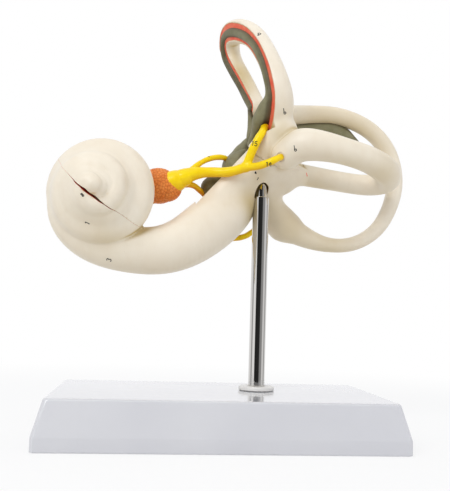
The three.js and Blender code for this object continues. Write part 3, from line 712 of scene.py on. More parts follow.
def cast_cream():
    f = Finish("cast_cream", Coat_Weight=0.12, Coat_Roughness=0.25, IOR=1.5)
    recess = f.attribute("recess")
    blotch = f.noise(26, 3, 0.55).between(0.35, 0.7)
    streak = f.noise(7, 4, 0.6, stretch=(1, 1, 0.45), shift=3.1).between(0.42, 0.72)
    tone = f.mix(blotch * 0.55, rgb(240, 230, 211), rgb(233, 220, 198))
    tone = f.mix(streak * 0.22, tone, rgb(226, 210, 184))
    # Painted shade: tan where the cast is shut in, faces down or lies round the listed spots
    tone = f.mix(recess, tone, rgb(196, 172, 112))
    fleck = f.noise(1.1, 2, 0.6, shift=7.7).between(0.76, 0.82)
    tone = f.mix(fleck * 0.35, tone, rgb(150, 120, 92))
    rough = 0.36 + 0.14 * f.noise(9, 3, 0.6, shift=1.3) + 0.1 * recess
    return f.wear(tone, rough, f.noise(3.2, 4, 0.55, shift=5.2), 0.16, 0.3)


def cut_red():
    f = Finish("cut_red", Coat_Weight=0.05, Coat_Roughness=0.3, Specular_IOR_Level=0.3)
    tone = f.mix(f.noise(6, 4, 0.6).between(0.35, 0.7), rgb(234, 90, 64), rgb(238, 126, 92))
    tone = f.mix(f.noise(1.6, 3, 0.6, shift=2.4).between(0.6, 0.8) * 0.5, tone, rgb(198, 60, 44))
    return f.wear(tone, 0.42 + 0.2 * f.noise(3, 3, 0.6), f.noise(0.9, 3, 0.6), 0.3, 0.12)


def duct_grey():
    f = Finish("duct_grey", Coat_Weight=0.05, Coat_Roughness=0.35, Specular_IOR_Level=0.3)
    tone = f.mix(f.noise(9, 4, 0.6).between(0.35, 0.7), rgb(136, 132, 102), rgb(118, 114, 82))
    tone = f.mix(f.noise(1.8, 3, 0.6, shift=4.1).between(0.6, 0.78) * 0.5, tone, rgb(152, 150, 128))
    # Painted shade: dark olive where the membrane is shut in, and a painted shadow round the nerve's entry
    tone = f.mix(f.attribute("recess"), tone, rgb(58, 46, 24))
    return f.wear(tone, 0.4 + 0.2 * f.noise(2.5, 3, 0.6), f.noise(1.2, 4, 0.6), 0.3, 0.15)


def saccule_brown():
    f = Finish("saccule_brown", Coat_Weight=0.05, Coat_Roughness=0.4, Specular_IOR_Level=0.3)
    tone = f.mix(f.noise(6, 4, 0.6).between(0.3, 0.7), rgb(118, 108, 74), rgb(94, 84, 50))
    return f.wear(tone, 0.45 + 0.2 * f.noise(2.5, 3, 0.6), f.noise(1.3, 4, 0.6), 0.3, 0.15)


def nerve_yellow():
    f = Finish("nerve_yellow", Coat_Weight=0.12, Coat_Roughness=0.12, Specular_IOR_Level=0.25)
    tone = f.mix(f.noise(9, 3, 0.5).between(0.35, 0.7), rgb(253, 222, 8), rgb(248, 212, 4))
    tone = f.mix(f.noise(2.0, 3, 0.6, shift=1.7).between(0.62, 0.8) * 0.2, tone, rgb(240, 190, 6))
    # Painted shade in recesses and underneath, deepening to orange, plus an even orange tone of the nerve's own
    # on some branches
    tone = f.mix(f.attribute("recess"), tone, rgb(214, 138, 6))
    return f.wear(tone, 0.26 + 0.14 * f.noise(3, 3, 0.6), f.noise(2.4, 3, 0.5), 0.14, 0.12)


def ganglion_orange():
    f = Finish("ganglion_orange", Coat_Weight=0.1, Coat_Roughness=0.3, Specular_IOR_Level=0.25)
    tone = f.mix(f.noise(3, 3, 0.6).between(0.3, 0.7), rgb(238, 146, 68), rgb(222, 122, 46))
    # Painted shade in the grooves between the cells
    tone = f.mix(0.8 * f.attribute("recess"), tone, rgb(184, 84, 22))
    return f.wear(tone, 0.38 + 0.2 * f.noise(1.5, 3, 0.6), f.noise(0.6, 3, 0.6), 0.25, 0.1)


def gloss_white():
    f = Finish("gloss_white", Coat_Weight=0.6, Coat_Roughness=0.04, IOR=1.5)
    tone = f.mix(f.noise(60, 2, 0.5).between(0.3, 0.7), rgb(218, 218, 221), rgb(213, 213, 217))
    scuff = f.noise(1.5, 4, 0.7, stretch=(1, 6, 1)).between(0.72, 0.8)
    tone = f.mix(scuff * 0.15, tone, rgb(198, 198, 202))
    return f.wear(tone, 0.13 + 0.08 * f.noise(14, 3, 0.6) + 0.12 * scuff, f.noise(22, 2, 0.5), 0.05, 0.4)


def collar_white():
    f = Finish("collar_white", Coat_Weight=0.15, Coat_Roughness=0.3, Specular_IOR_Level=0.3)
    tone = f.mix(f.noise(14, 2, 0.5).between(0.3, 0.7), rgb(238, 236, 233), rgb(230, 228, 225))
    return f.wear(tone, 0.34 + 0.12 * f.noise(6, 3, 0.6), f.noise(4, 2, 0.5), 0.05, 0.1)


def bright_chrome():
    f = Finish("bright_chrome", Metallic=1.0)
    wear = f.noise(0.8, 3, 0.7, stretch=(1, 1, 8)).between(0.62, 0.8)
    tone = f.mix(wear * 0.4, rgb(214, 212, 208), rgb(172, 170, 168))
    return f.wear(tone, 0.03 + 0.1 * wear + 0.03 * f.noise(6, 2, 0.5), f.noise(5, 2, 0.5), 0.04, 0.1)


def plain_steel():
    f = Finish("plain_steel", Metallic=1.0)
    grain = f.noise(0.5, 4, 0.7, stretch=(1, 1, 6))
    return f.grain(grain, rgb(176, 178, 182), rgb(146, 148, 153), 0.28, 0.2, 0.2, 0.05)


def plate_grey():
    f = Finish("plate_grey")
    grain = f.noise(0.9, 4, 0.7)
    tone = f.mix(f.noise(18, 3, 0.5).between(0.3, 0.7), rgb(216, 217, 220), rgb(204, 205, 209))
    return f.wear(tone, 0.5 + 0.2 * grain, grain, 0.35, 0.15)


def raw_brown():
    f = Finish("raw_brown")
    return f.grain(f.noise(1.4, 4, 0.65), rgb(184, 142, 84), rgb(146, 104, 56), 0.55, 0.25, 0.5, 0.25)


# The nerve hole's wall, coloured dark red-brown as painted shade round the nerve where it goes in
def dark_bore():
    f = Finish("dark_bore")
    return f.grain(f.noise(1.0, 3, 0.6), rgb(120, 40, 22), rgb(60, 26, 14), 0.6, 0.2, 0.3, 0.15)


def black_ink():
    f = Finish("black_ink")
    grain = f.noise(0.35, 3, 0.7)
    tone = f.mix(grain.between(0.55, 0.75) * 0.6, rgb(26, 24, 26), rgb(82, 76, 74))
    return f.wear(tone, 0.45 + 0.2 * grain, grain, 0.2, 0.03)


CREAM, RED, DUCT, SACCULE_PAINT = cast_cream(), cut_red(), duct_grey(), saccule_brown()
YELLOW, ORANGE, WHITE, CHROME = nerve_yellow(), ganglion_orange(), gloss_white(), bright_chrome()
STEEL, PLATE, BROWN, BORE, INK = plain_steel(), plate_grey(), raw_brown(), dark_bore(), black_ink()
COLLAR_WHITE = collar_white()


# The whole organ in coarse clay, to tell how shut in a place is for the painted shade

def snail_chains():
    """The cochlea's turns and its core."""
    core = np.array([(*on_axis(rise), radius) for rise, radius in CORE])
    return [spiral(0, len(QUARTER_TURNS) - 1), core]


COARSE_STEP, FURTHEST = 1.5, 18  # mm
# How far out from a vertex the painted shade looks for room, and how much each reach counts
RECESS_REACHES = ((2, 0.3), (4, 0.3), (8, 0.25), (14, 0.15))  # mm from the surface, weight
RECESS_LOW, RECESS_HIGH = 0.12, 0.6


def coarse_organ():
    limbs = (BASAL_TURN, VESTIBULE, POSTERIOR_ROOT, ANTERIOR_ROOT, LATERAL_RING, POSTERIOR_RING, ANTERIOR_RING)
    chains = [through(limb) for limb in limbs] + snail_chains()
    clay = Clay.around(chains, COARSE_STEP, FURTHEST)
    for chain in chains:
        window, own = clay.chain(chain, FURTHEST)
        clay.depth[window] = np.minimum(clay.depth[window], own)
    return clay


ORGAN = coarse_organ()


PAINTED_SHADE_SPOTS = [  # where the cream is darkened to tan as painted shade: place, reach, strength
    ((14.5, 2, 143), 9, 0.55), ((18, 5, 135), 9, 0.55), ((23.8, -9, 172.9), 6, 0.85),
    ((29.5, -23, 180.7), 7, 0.4), ((46.5, 19, 130.3), 14, 0.45), ((73.3, 25, 120.3), 15, 0.35),
    ((33.3, 12, 139.7), 9, 0.3), ((21.7, -2, 156), 5, 0.3), ((92.7, -16, 161.6), 12, 0.3),
    ((68.2, 24, 203), 16, 0.35), ((92.5, 25, 198), 14, 0.35), ((110.2, 26, 186), 10, 0.2),
    ((10, 22, 228), 12, 0.75), ((14, 18, 214), 8, 0.5), ((66.8, -20, 160), 12, 0.3),
    ((60.4, 16, 154), 12, 0.25), ((-68, -30, 113), 10, 0.25),
]


def paint_shade_and_tone(piece, strength, shade_and_tone_spots, under=0.0):
    """Stores painted shade at each vertex: where it is shut in, where it faces down (by under) and round the
    given spots, which paint shade on the castings and membranes and lay an even tone of their own on the
    nerves.
    """
    points, normals = surface_arrays(piece)
    shut = np.zeros(len(points))
    for reach, weight in RECESS_REACHES:
        room = ORGAN.read(points + reach * normals)
        shut += weight * np.clip(1 - room / reach, 0, 1)
    shade = np.clip((shut - RECESS_LOW) / (RECESS_HIGH - RECESS_LOW), 0, 1)
    shade = strength * shade * shade * (3 - 2 * shade) + under * np.clip(-normals[:, 2], 0, 1) ** 1.3
    for place, reach, amount in shade_and_tone_spots:
        shade += amount * np.exp(-((points - place) ** 2).sum(1) / reach ** 2)
    store(piece, "recess", shade)


# Shapes in clay

def grown(chain, by):
    chain = np.array(chain, float)
    chain[:, 3] += by
    return chain


def nerve_core(grow=0.0):
    return np.array([(*on_axis(rise), radius + grow) for rise, radius in NERVE_CORE])


def ribs(pairs):
    """Stations to and fro between pairs of them, all thinner by the pair's depth."""
    made = []
    for i, (one, other, depth) in enumerate(pairs):
        made += [(*p[:3], p[3] - depth) for p in ((one, other) if i % 2 else (other, one))]
    return np.array(made)


def web_chains():
    """Ribs between neighbouring turns, which leave only a shallow groove."""
    inner = []
    for turn in np.linspace(0.1, 5, INNER_RIBS):
        inner.append((spiral_station(turn), spiral_station(turn + 4), np.interp(turn, *zip(*INNER_GROOVE))))
    outer = []
    for place in through(BASAL_TURN, 12)[:OUTER_RIBS]:
        angle = math.atan2(COCHLEA_CENTRE[2] - place[2], place[0] - COCHLEA_CENTRE[0]) % (2 * math.pi)
        turn = (angle - math.pi) / (math.pi / 2)
        neighbour = spiral_station(turn + 4 if turn <= 0.01 else turn)
        outer.append((place, neighbour, np.interp(turn, *zip(*OUTER_GROOVE))))
    return [ribs(inner), ribs(outer)]


def lay_snail(clay, grow=0.0):
    turns, core = snail_chains()
    clay.lay(grown(core, grow))
    clay.lay(grown(turns, grow), 0.6)
    for web in web_chains():
        clay.lay(grown(web, grow), 1.4)
    return clay


def snail_clay(grow=0.0):
    return lay_snail(Clay.around(snail_chains() + web_chains(), STEP, 3 + grow), grow)


def tube(name, chain, material, step=STEP, margin=2):
    """A closed tube along dense stations."""
    return from_clay(name, Clay.around([chain], step, margin).lay(chain), material)


def painted(chain, wave):
    """A chain made thinner by a hand-painted, slightly uneven margin."""
    chain = np.array(chain, float)
    along = np.arange(len(chain))
    chain[:, 3] -= PAINT_MARGIN + wave * (0.6 * np.sin(along * 0.83 + 0.4) + 0.4 * np.sin(along * 1.9))
    return chain


# Cutters

def uneven_block(centre, side, depth, normal, lift, material, size=180.0, height=90.0, count=61):
    """Room on the normal's side of a plane, its lower face lifted by lift(along side, along depth)."""
    u = (np.arange(count) / (count - 1) - 0.5) * size
    lower = np.array([centre + side * x + depth * y + normal * lift(x, y) for y in u for x in u])
    points = np.vstack([lower, lower + normal * height])
    n = count * count
    faces = []
    for j in range(count - 1):
        for i in range(count - 1):
            a = j * count + i
            under = (a, a + count, a + count + 1, a + 1)
            faces += [under, tuple(n + b for b in (under[0], *under[:0:-1]))]
    rim = list(range(count)) + [count * j + count - 1 for j in range(1, count)]
    rim += [n - 1 - i for i in range(1, count)] + [n - count - count * j for j in range(1, count - 1)]
    for a, b in zip(rim, rim[1:] + rim[:1]):
        faces.append((a, b, n + b, n + a))
    mesh = mesh_of("block", points, faces, material)
    work = bmesh.new()
    work.from_mesh(mesh)
    bmesh.ops.recalc_face_normals(work, faces=work.faces)
    work.to_mesh(mesh)
    work.free()
    return object_of(mesh)


def seam_block(material, lift):
    """The room above the cochlea's seam."""
    depth = np.cross(SEAM_NORMAL, SEAM_SIDE)
    return uneven_block(SEAM_POINT, SEAM_SIDE, depth, SEAM_NORMAL, lift, material)


def crack(u, v, reach):
    """How far the seam gapes: in the middle of its front only."""
    return math.exp(-((u - CRACK_MIDDLE) / reach) ** 2) / (1 + math.exp((v - CRACK_BACK) / CRACK_FADE))


def body_seam(u, v):
    """The body's side of the seam: a hair's breadth at both ends and an open crack between."""
    return -SEAM_HAIR - 0.8 * crack(u, v, 10) * (1 + 0.3 * math.sin(0.9 * u + 0.4))


def cover_seam(u, v):
    """The cover's side of the seam, a little eaten away over the crack."""
    return SEAM_HAIR + 0.5 * crack(u, v, 9) * (1 + 0.5 * math.sin(1.3 * u + 1))


def opening_lift(back, _):
    """The opened side is level with the eye in front and falls off behind."""
    return OPENING_RISE * back - OPENING_FALL * max(back - OPENING_LEVEL, 0)


def opening_block():
    """The room over the vestibule's opened side."""
    point, normal = OPENING
    block = uneven_block(point, np.array([0.0, 1, 0]), np.cross(normal, (0, 1, 0)), normal, opening_lift, CREAM)
    return carve(block, "INTERSECT", block_beyond((OPENING_LEFT, 0, 0), (1, 0, 0), CREAM))


def lamina_cutters():
    """The shelf that divides the passages, in pieces shorter than a turn."""
    pieces = []
    for first in range(0, 4 * (len(QUARTER_TURNS) - 1), 4):
        rings = []
        for turn in np.arange(first, first + 5) / 4:
            *middle, radius = spiral_station(turn)
            along = (spiral_station(turn + 0.05) - spiral_station(max(turn - 0.05, 0)))[:3]
            along /= max(np.linalg.norm(along), 1e-6)
            side = COCHLEA_AXIS - along * (COCHLEA_AXIS @ along)
            side /= np.linalg.norm(side)
            outward = np.cross(along, side)
            reach, half = radius + 1, LAMINA / 2
            rings.append([middle + o * outward + h * side for o, h in
                          ((-reach, -half), (-reach, half), (reach, half), (reach, -half))])
        pieces.append(rings_to_mesh("lamina", np.array(rings), CREAM))
    return pieces


def passages():
    """The cochlea's two passages, only as deep as the seam lays them open."""
    made = tube("passages", grown(spiral(0, PASSAGE_END, 12), -CANAL_WALL), CREAM)
    carve(made, "INTERSECT", block_beyond(SEAM_POINT, SEAM_NORMAL, CREAM, -RECESS_DEPTH))
    carve(made, "DIFFERENCE", block_beyond(SEAM_POINT, SEAM_NORMAL, CREAM, RECESS_DEPTH), *lamina_cutters())
    return made


def pin(name, middle, along, radius, half, material):
    """A round pin with bevelled ends."""
    bevel = 0.3
    side = np.cross(along, (0, 0, 1))
    side /= np.linalg.norm(side)
    up = np.cross(along, side)
    angles = np.linspace(0, 2 * math.pi, 32, endpoint=False)
    circle = np.outer(np.cos(angles), side) + np.outer(np.sin(angles), up)
    profile = [(-half, radius - bevel), (-half + bevel, radius), (half - bevel, radius), (half, radius - bevel)]
    return rings_to_mesh(name, [middle + z * along + r * circle for z, r in profile], material)


def peg(name, side, material, room=0.0):
    """A pin across the seam, beside the cochlea's core."""
    place = on_axis(PEG_RISE) + side * PEG_SPREAD * SEAM_SIDE
    middle = place - ((place - SEAM_POINT) @ SEAM_NORMAL) * SEAM_NORMAL
    return pin(name, middle, SEAM_NORMAL, PEG_RADIUS + room, PEG_HALF + room, material)


def snail_rooms():
    """What both halves of the cochlea leave free: the passages, the nerve core and the pegs."""
    core = tube("core_room", nerve_core(GAP), YELLOW, 0.5)
    return [passages(), core, *[peg("peg_room", side, CREAM, GAP) for side in (-1, 1)]]


# Bony pieces

CUT_ROWS = through([(across, up, cut) for across, up, _, cut, _ in ANTERIOR_PLANE])


def anterior_lift(across, up):
    """Height of the cut face over the ring's plane; it turns away outside the rear limb."""
    distance = np.hypot(CUT_ROWS[:, 0] - across, CUT_ROWS[:, 1] - up)
    nearness = 1 / (distance ** 2 + CUT_SOFTNESS ** 2) ** 2
    limb = np.array(FAR_LIMB_FOOT) - FAR_LIMB_TOP
    limb = limb / np.linalg.norm(limb)
    inward = (across - FAR_LIMB_FOOT[0]) * -limb[1] + (up - FAR_LIMB_FOOT[1]) * limb[0]
    return CUT_ROWS[:, 2] @ nearness / nearness.sum() + math.tan(FAR_LIMB_TILT) * min(inward, 0)


def anterior_cut(material, offset=0.0):
    """The room over the opened side of the anterior ring, no wider than the ring itself."""
    def lift(across, up):
        return anterior_lift(across, up) + offset

    block = uneven_block(ANTERIOR_CENTRE, ANTERIOR_ACROSS, ANTERIOR_UP, ANTERIOR_NORMAL, lift, material,
                         size=130, height=40, count=89)
    return carve(block, "INTERSECT", tube("ring_room", grown(through(ANTERIOR_RING), 3), material))


def posterior_cut(material, offset=0.0):
    """The room behind the cut face of the posterior ring."""
    return block_beyond((0, POSTERIOR_CUT_Y + offset, POSTERIOR_MIDDLE_Z), (0, 1, 0), material)


def red_layer(ring, wave, cut):
    """The paint in a ring's cut face: all but a thin, hand-cut margin of it."""
    paint = tube("paint_room", painted(through(ring), wave), RED, margin=3)
    return carve(paint, "INTERSECT", cut(RED, -PAINT_DEPTH))


def make_body():
    lateral, posterior = grown(through(LATERAL_RING), -JOINT_STEP), grown(through(POSTERIOR_RING), -JOINT_STEP)
    limbs = [  # tubes and the blend with which each one runs into the rest
        (through(BASAL_TURN), 0.8), (through(VESTIBULE), 5), (through(POSTERIOR_ROOT), 4),
        (through(ANTERIOR_ROOT), 3), (np.array(CUSP, float), 5), (through(FRONT_WALL), 4),
        (lateral[:BULB_POINTS], 1.2), (lateral[-LATERAL_END:], 1.5), (posterior[-POSTERIOR_END:], 8),
    ]
    clay = lay_snail(Clay.around([limb for limb, _ in limbs] + snail_chains() + web_chains(), STEP, 4))
    for limb, blend in limbs:
        clay.lay(limb, blend)
    body = from_clay("bony_body", clay, CREAM)
    cover_room = carve(from_clay("cover_room", snail_clay(GAP), RED), "INTERSECT", seam_block(RED, body_seam))
    carve(body, "DIFFERENCE",
          anterior_cut(CREAM), red_layer(ANTERIOR_RING, 0.12, anterior_cut),
          cover_room,
          block_beyond(*ANTERIOR_SEAM, CREAM, -GAP / 2),
          opening_block(),
          posterior_cut(CREAM),
          *snail_rooms(),
          rod_cutter(SOCKET_RADIUS + SOCKET_CLEARANCE, POST_TOP, SOCKET_TOP + GAP, BROWN),
          turned_round("mouth", MOUTH, CREAM, centre=MOUTH_CENTRE),
          rod_cutter(POST_RADIUS + POST_CLEARANCE, BASE_HEIGHT, POST_TOP + POST_CLEARANCE, CREAM))
    return body


def make_cover():
    cover = from_clay("cochlea_cover", snail_clay(), CREAM)
    carve(cover, "INTERSECT", seam_block(RED, cover_seam))
    return carve(cover, "DIFFERENCE", *snail_rooms())


def make_anterior_canal():
    ring, root = through(ANTERIOR_RING), through(ANTERIOR_ROOT)
    bulb = grown(through(LATERAL_RING)[:BULB_POINTS], -JOINT_STEP)
    clay = Clay.around([ring, root, bulb], STEP, 4).lay(ring).lay(root, 3).lay(bulb, 2)
    canal = from_clay("anterior_loop", clay, CREAM)
    carve(canal, "INTERSECT", block_beyond(*ANTERIOR_SEAM, CREAM, GAP / 2))
    return carve(canal, "DIFFERENCE", anterior_cut(CREAM), red_layer(ANTERIOR_RING, 0.12, anterior_cut))


def make_posterior_canal():
    canal = tube("posterior_loop", through(POSTERIOR_RING), CREAM, margin=3)
    keep = carve(block_beyond((0, 0, UPPER_LIMB), (0, 0, 1), CREAM), "UNION",
                 block_beyond((POSTERIOR_SEAM_X + GAP, 0, 0), (1, 0, 0), CREAM))
    carve(canal, "INTERSECT", keep)
    return carve(canal, "DIFFERENCE", posterior_cut(CREAM), anterior_cut(CREAM),
                 red_layer(POSTERIOR_RING, 0.1, posterior_cut))


def make_lateral_canal():
    canal = tube("lateral_loop", through(LATERAL_RING), CREAM)
    far_limb = carve(block_beyond((0, LATERAL_MIDDLE_Y, 0), (0, 1, 0), CREAM), "DIFFERENCE",
                     block_beyond((LATERAL_SEAM_X + GAP, 0, 0), (1, 0, 0), CREAM))
    # The hole's wall takes the dark colour that paints shade round the nerve
    hole = tube("nerve_hole", grown(through(LATERAL_BRANCH), LATERAL_HOLE), BORE, 0.4)
    return carve(canal, "DIFFERENCE", far_limb, hole)


# Ducts and sacs

def soft_clay(name, chains, material, step=0.6, blend=2.0, flat=1.0, seed=0.0):
    """A soft piece: tubes run together, with the slight unevenness of hand finishing."""
    for chain in chains:
        along = np.arange(len(chain))
        chain[:, 3] *= 1 + 0.02 * np.sin(along * 0.9 + seed) + 0.015 * np.sin(along * 0.37 + 2 * seed)
    clay = Clay.around(chains, step, 3)
    for chain in chains:
        clay.lay(chain, blend, flat)
    return from_clay(name, clay, material)


def make_membranes():
    for name, node, tubes, seed, details in (
        ("anterior_membrane", "anterior_duct", [anterior_duct_stations()], 0.3, {}),
        ("crus_membrane", "common_crus_duct", [COMMON_CRUS], 1.1, {}),
        ("posterior_membrane", "posterior_duct", [posterior_duct_stations()], 2.2, {}),
        ("utricle_sac", "utricle", [UTRICLE, UTRICLE_FRONT], 0.8, {"blend": 0.6}),
        ("endolymph_sac", "endolymphatic_sac", [SAC], 1.9, {"step": 0.5, "flat": SAC_FLATNESS}),
        ("saccule_sac", "saccule", [SACCULE], 2.7, {}),
    ):
        brown = node == "saccule"
        chains = [through(stations) for stations in tubes]
        piece = soft_clay(name, chains, SACCULE_PAINT if brown else DUCT, seed=seed, **details)
        # Painted shade in recesses and a painted shadow round the nerve's entry
        paint_shade_and_tone(piece, 0.55, [(NERVE_ENTRY, 3.6, 1.3)])
        finish_piece(piece, LABYRINTH, node, slot="saccule_grey" if brown else "membrane")


# Nerves

CELL_SIZE, CELL_HEIGHT = 1.9, 0.5
CELL_SPACING, CELL_SHOULDER = 0.82 * CELL_SIZE, 0.55 * CELL_SIZE


def pebble(piece):
    """Packs the surface with rounded cells, as the cast nerve knot has."""
    points, normals = surface_arrays(piece)
    order = np.random.default_rng(7).permutation(len(points))
    tree = KDTree(len(points))
    for i, p in enumerate(points):
        tree.insert(p, i)
    tree.balance()
    free = np.ones(len(points), bool)
    seeds = []
    for i in order:
        if free[i]:
            seeds.append(i)
            for _, j, _ in tree.find_range(points[i], CELL_SPACING):
                free[j] = False
    cells = KDTree(len(seeds))
    for k, i in enumerate(seeds):
        cells.insert(points[i], k)
    cells.balance()
    near = np.array([[d for _, _, d in cells.find_n(p, 2)] for p in points])
    edge = np.clip((near[:, 1] - near[:, 0]) / CELL_SHOULDER, 0, 1)
    rise = np.sqrt(np.clip(1 - (1 - edge) ** 2, 0, 1))
    points += normals * (CELL_HEIGHT * (rise - 0.6))[:, None]
    piece.data.vertices.foreach_set("co", (points * MM).astype(np.float32).ravel())
    piece.data.update()
    # Painted shade in the grooves between the cells, for the ganglion's colour
    store(piece, "recess", 1 - rise)


def make_nerves():
    knot = soft_clay("nerve_knot", [through(GANGLION)], ORANGE, 0.26)
    pebble(knot)
    finish_piece(knot, LABYRINTH, "vestibular_ganglion", slot="ganglion_orange", angle=80)
    fork = [through(c) for c in (TRUNK, ANTERIOR_BRANCH, LATERAL_BRANCH)]
    for name, chains, node, deep in (
        ("front_nerve", fork, "vestibular_nerve", 0.0),
        ("utricle_nerve", [through(UTRICULAR_BRANCH)], "utricular_nerve", 0.05),
        ("saccule_nerve", [through(SACCULAR_BRANCH)], "saccular_nerve", 0.45),
        ("rear_nerve", [through(AMPULLARY_BRANCH)], "posterior_ampullary_nerve", 0.1),
        ("snail_nerve", [through(COCHLEAR_TAIL), nerve_core()], "cochlear_nerve", 0.1),
    ):
        piece = soft_clay(name, chains, YELLOW, 0.4, 1.5, seed=len(name))
        # Painted shade in recesses and underneath; the table's last column adds an even tone of the nerve's
        # own, deepest on the saccular branch
        paint_shade_and_tone(piece, 0.3, [((0, 0, 150), 1000, deep)], under=0.55)
        finish_piece(piece, LABYRINTH, node, slot="nerve_yellow", angle=60)


# Printed numerals and paint marks

GLYPHS = {  # strokes in a box one unit high
    "1": [[(-0.18, 0.28), (0.02, 0.5), (0.02, -0.5)]],
    "3": [[(-0.25, 0.4), (0, 0.5), (0.24, 0.3), (0, 0.05), (0.26, -0.2), (0, -0.5), (-0.28, -0.36)]],
    "4": [[(0.16, -0.5), (0.16, 0.5), (-0.3, -0.16), (0.34, -0.16)]],
    "5": [[(0.26, 0.5), (-0.2, 0.5), (-0.24, 0.08), (0.06, 0.14), (0.28, -0.14), (0.06, -0.48),
           (-0.28, -0.38)]],
    "6": [[(-0.3, 0.75), (-0.2, 0.2), (-0.22, -0.25), (0, -0.48), (0.24, -0.22), (0.02, 0.04), (-0.2, -0.2)]],
    "8": [[(0, 0), (-0.24, 0.26), (0, 0.5), (0.24, 0.26), (0, 0), (-0.28, -0.26), (0, -0.5), (0.28, -0.26),
           (0, 0)]],
    "-": [[(0, 0.5), (0.05, -0.5)]],
    ".": [[(0, 0.12), (0.02, -0.12)]],
}
NUMERALS = [  # text, where it is looked for, height, degrees it is turned
    ("15", (15.3, -18, 172.9), 2.7, -8), ("14", (23.8, -20, 160.5), 2.6, -2), ("6", (30.9, -30, 189.6), 2.8, 0),
    ("6", (37.6, -30, 168.1), 2.8, 0), ("4", (17.5, -10, 243.5), 2.8, -68), ("4", (18.8, -2, 158.7), 1.7, 10),
    ("1", (20.4, -1, 155.2), 1.7, -35), ("-", (-10.2, -2, 167.1), 1.4, 60), ("-", (-28, -6, 158.2), 1.2, 78),
    ("8", (-80.1, -50, 132.2), 1.9, 45), ("1", (-77.2, -45, 118), 2.6, 62), ("3", (-66.1, -25, 100.2), 2.6, 72),
]
PAINT_MARKS = [(".", (16.6, 6, 200), 2.4, 20), ("-", (53.9, 12, 162.2), 2.4, 12)]
LETTER_WIDTH = 0.68  # of its height
STROKE_HEIGHT, STROKE_DEPTH = 0.05, 0.12  # over and under the surface
SEARCH_START, SEARCH_LENGTH = 60.0, 150.0  # from this far in front of a mark's place, and so far on


def stroke_rings(points, normals, half):
    """One flat pen stroke: a thin ribbon lying just on the surface."""
    rings = []
    for i, (p, n) in enumerate(zip(points, normals)):
        along = points[min(i + 1, len(points) - 1)] - points[max(i - 1, 0)]
        side = np.cross(along, n)
        side *= half / max(np.linalg.norm(side), 1e-6)
        top, foot = STROKE_HEIGHT * n, STROKE_DEPTH * n
        rings.append([p - side + top, p + side + top, p + side - foot, p - side - foot])
    return np.array(rings)


def print_marks(name, marks, half, material, pieces):
    """Writes the marks on whatever of the pieces lies behind their places, as seen from the camera."""
    points, faces = [], []
    for mesh in (piece.data for piece in pieces):
        start = len(points)
        points += [v.co / MM for v in mesh.vertices]
        faces += [[start + i for i in p.vertices] for p in mesh.polygons]
    skin = BVHTree.FromPolygons(points, faces)
    eye = np.array(camera_matrix().translation) / MM
    right, up = (np.array(camera_matrix().col[i].xyz) for i in (0, 1))
    strokes = []
    for text, place, height, turn in marks:
        c, s = math.cos(math.radians(turn)), math.sin(math.radians(turn))
        for k, sign in enumerate(text):
            for line in GLYPHS[sign]:
                corners = np.array(line) * height + [(k - (len(text) - 1) / 2) * LETTER_WIDTH * height, 0]
                run = through(corners, 6) if len(line) > 2 else np.linspace(*corners, 6)
                spots = []
                for x, y in run:
                    aim = np.array(place) + right * (c * x - s * y) + up * (s * x + c * y)
                    ray = (aim - eye) / np.linalg.norm(aim - eye)
                    source = Vector(aim - SEARCH_START * ray)
                    spot, normal, _, _ = skin.ray_cast(source, Vector(ray), SEARCH_LENGTH)
                    if spot is not None:
                        spots.append((np.array(spot), np.array(normal)))
                if len(spots) > 2:
                    strokes.append(stroke_rings(*zip(*spots), half))
    made = [rings_to_mesh(name, rings, material) for rings in strokes]
    for other in made[1:]:
        join(made[0], other)
    return made[0]


def join(piece, other):
    """Adds another mesh to the piece."""
    work = bmesh.new()
    work.from_mesh(piece.data)
    work.from_mesh(other.data)
    work.to_mesh(piece.data)
    work.free()
    discard(other)


def make_numerals(bony):
    pieces = [piece for piece, body, _ in bony if body == LABYRINTH]
    pieces += [o for o in bpy.data.objects if o.name in ("front_nerve", "utricle_nerve")]
    finish_piece(print_marks("numerals", NUMERALS, 0.24, INK, pieces), LABYRINTH)
    finish_piece(print_marks("paint_marks", PAINT_MARKS, 0.35, RED, pieces), LABYRINTH)


# Stand

def outline(inset, radius, z, steps=8):
    """The base's rounded outline, so far in from its widest."""
    x, y = BASE_LENGTH / 2 - inset, BASE_DEPTH / 2 - inset
    points = []
    for cx, cy, start in ((x, -y, -90), (x, y, 0), (-x, y, 90), (-x, -y, 180)):
        cx, cy = cx - math.copysign(radius, cx), cy - math.copysign(radius, cy)
        for k in range(steps + 1):
            angle = math.radians(start + 90 * k / steps)
            points.append((cx + radius * math.cos(angle), cy + radius * math.sin(angle), z))
    return np.array(points)


def round_edge(radius, top, fillet, count=6):
    """The rounded upper edge of a turned piece, from its side to its top."""
    return [(radius - fillet + fillet * math.cos(a), top - fillet + fillet * math.sin(a))
            for a in np.linspace(0, math.pi / 2, count)]


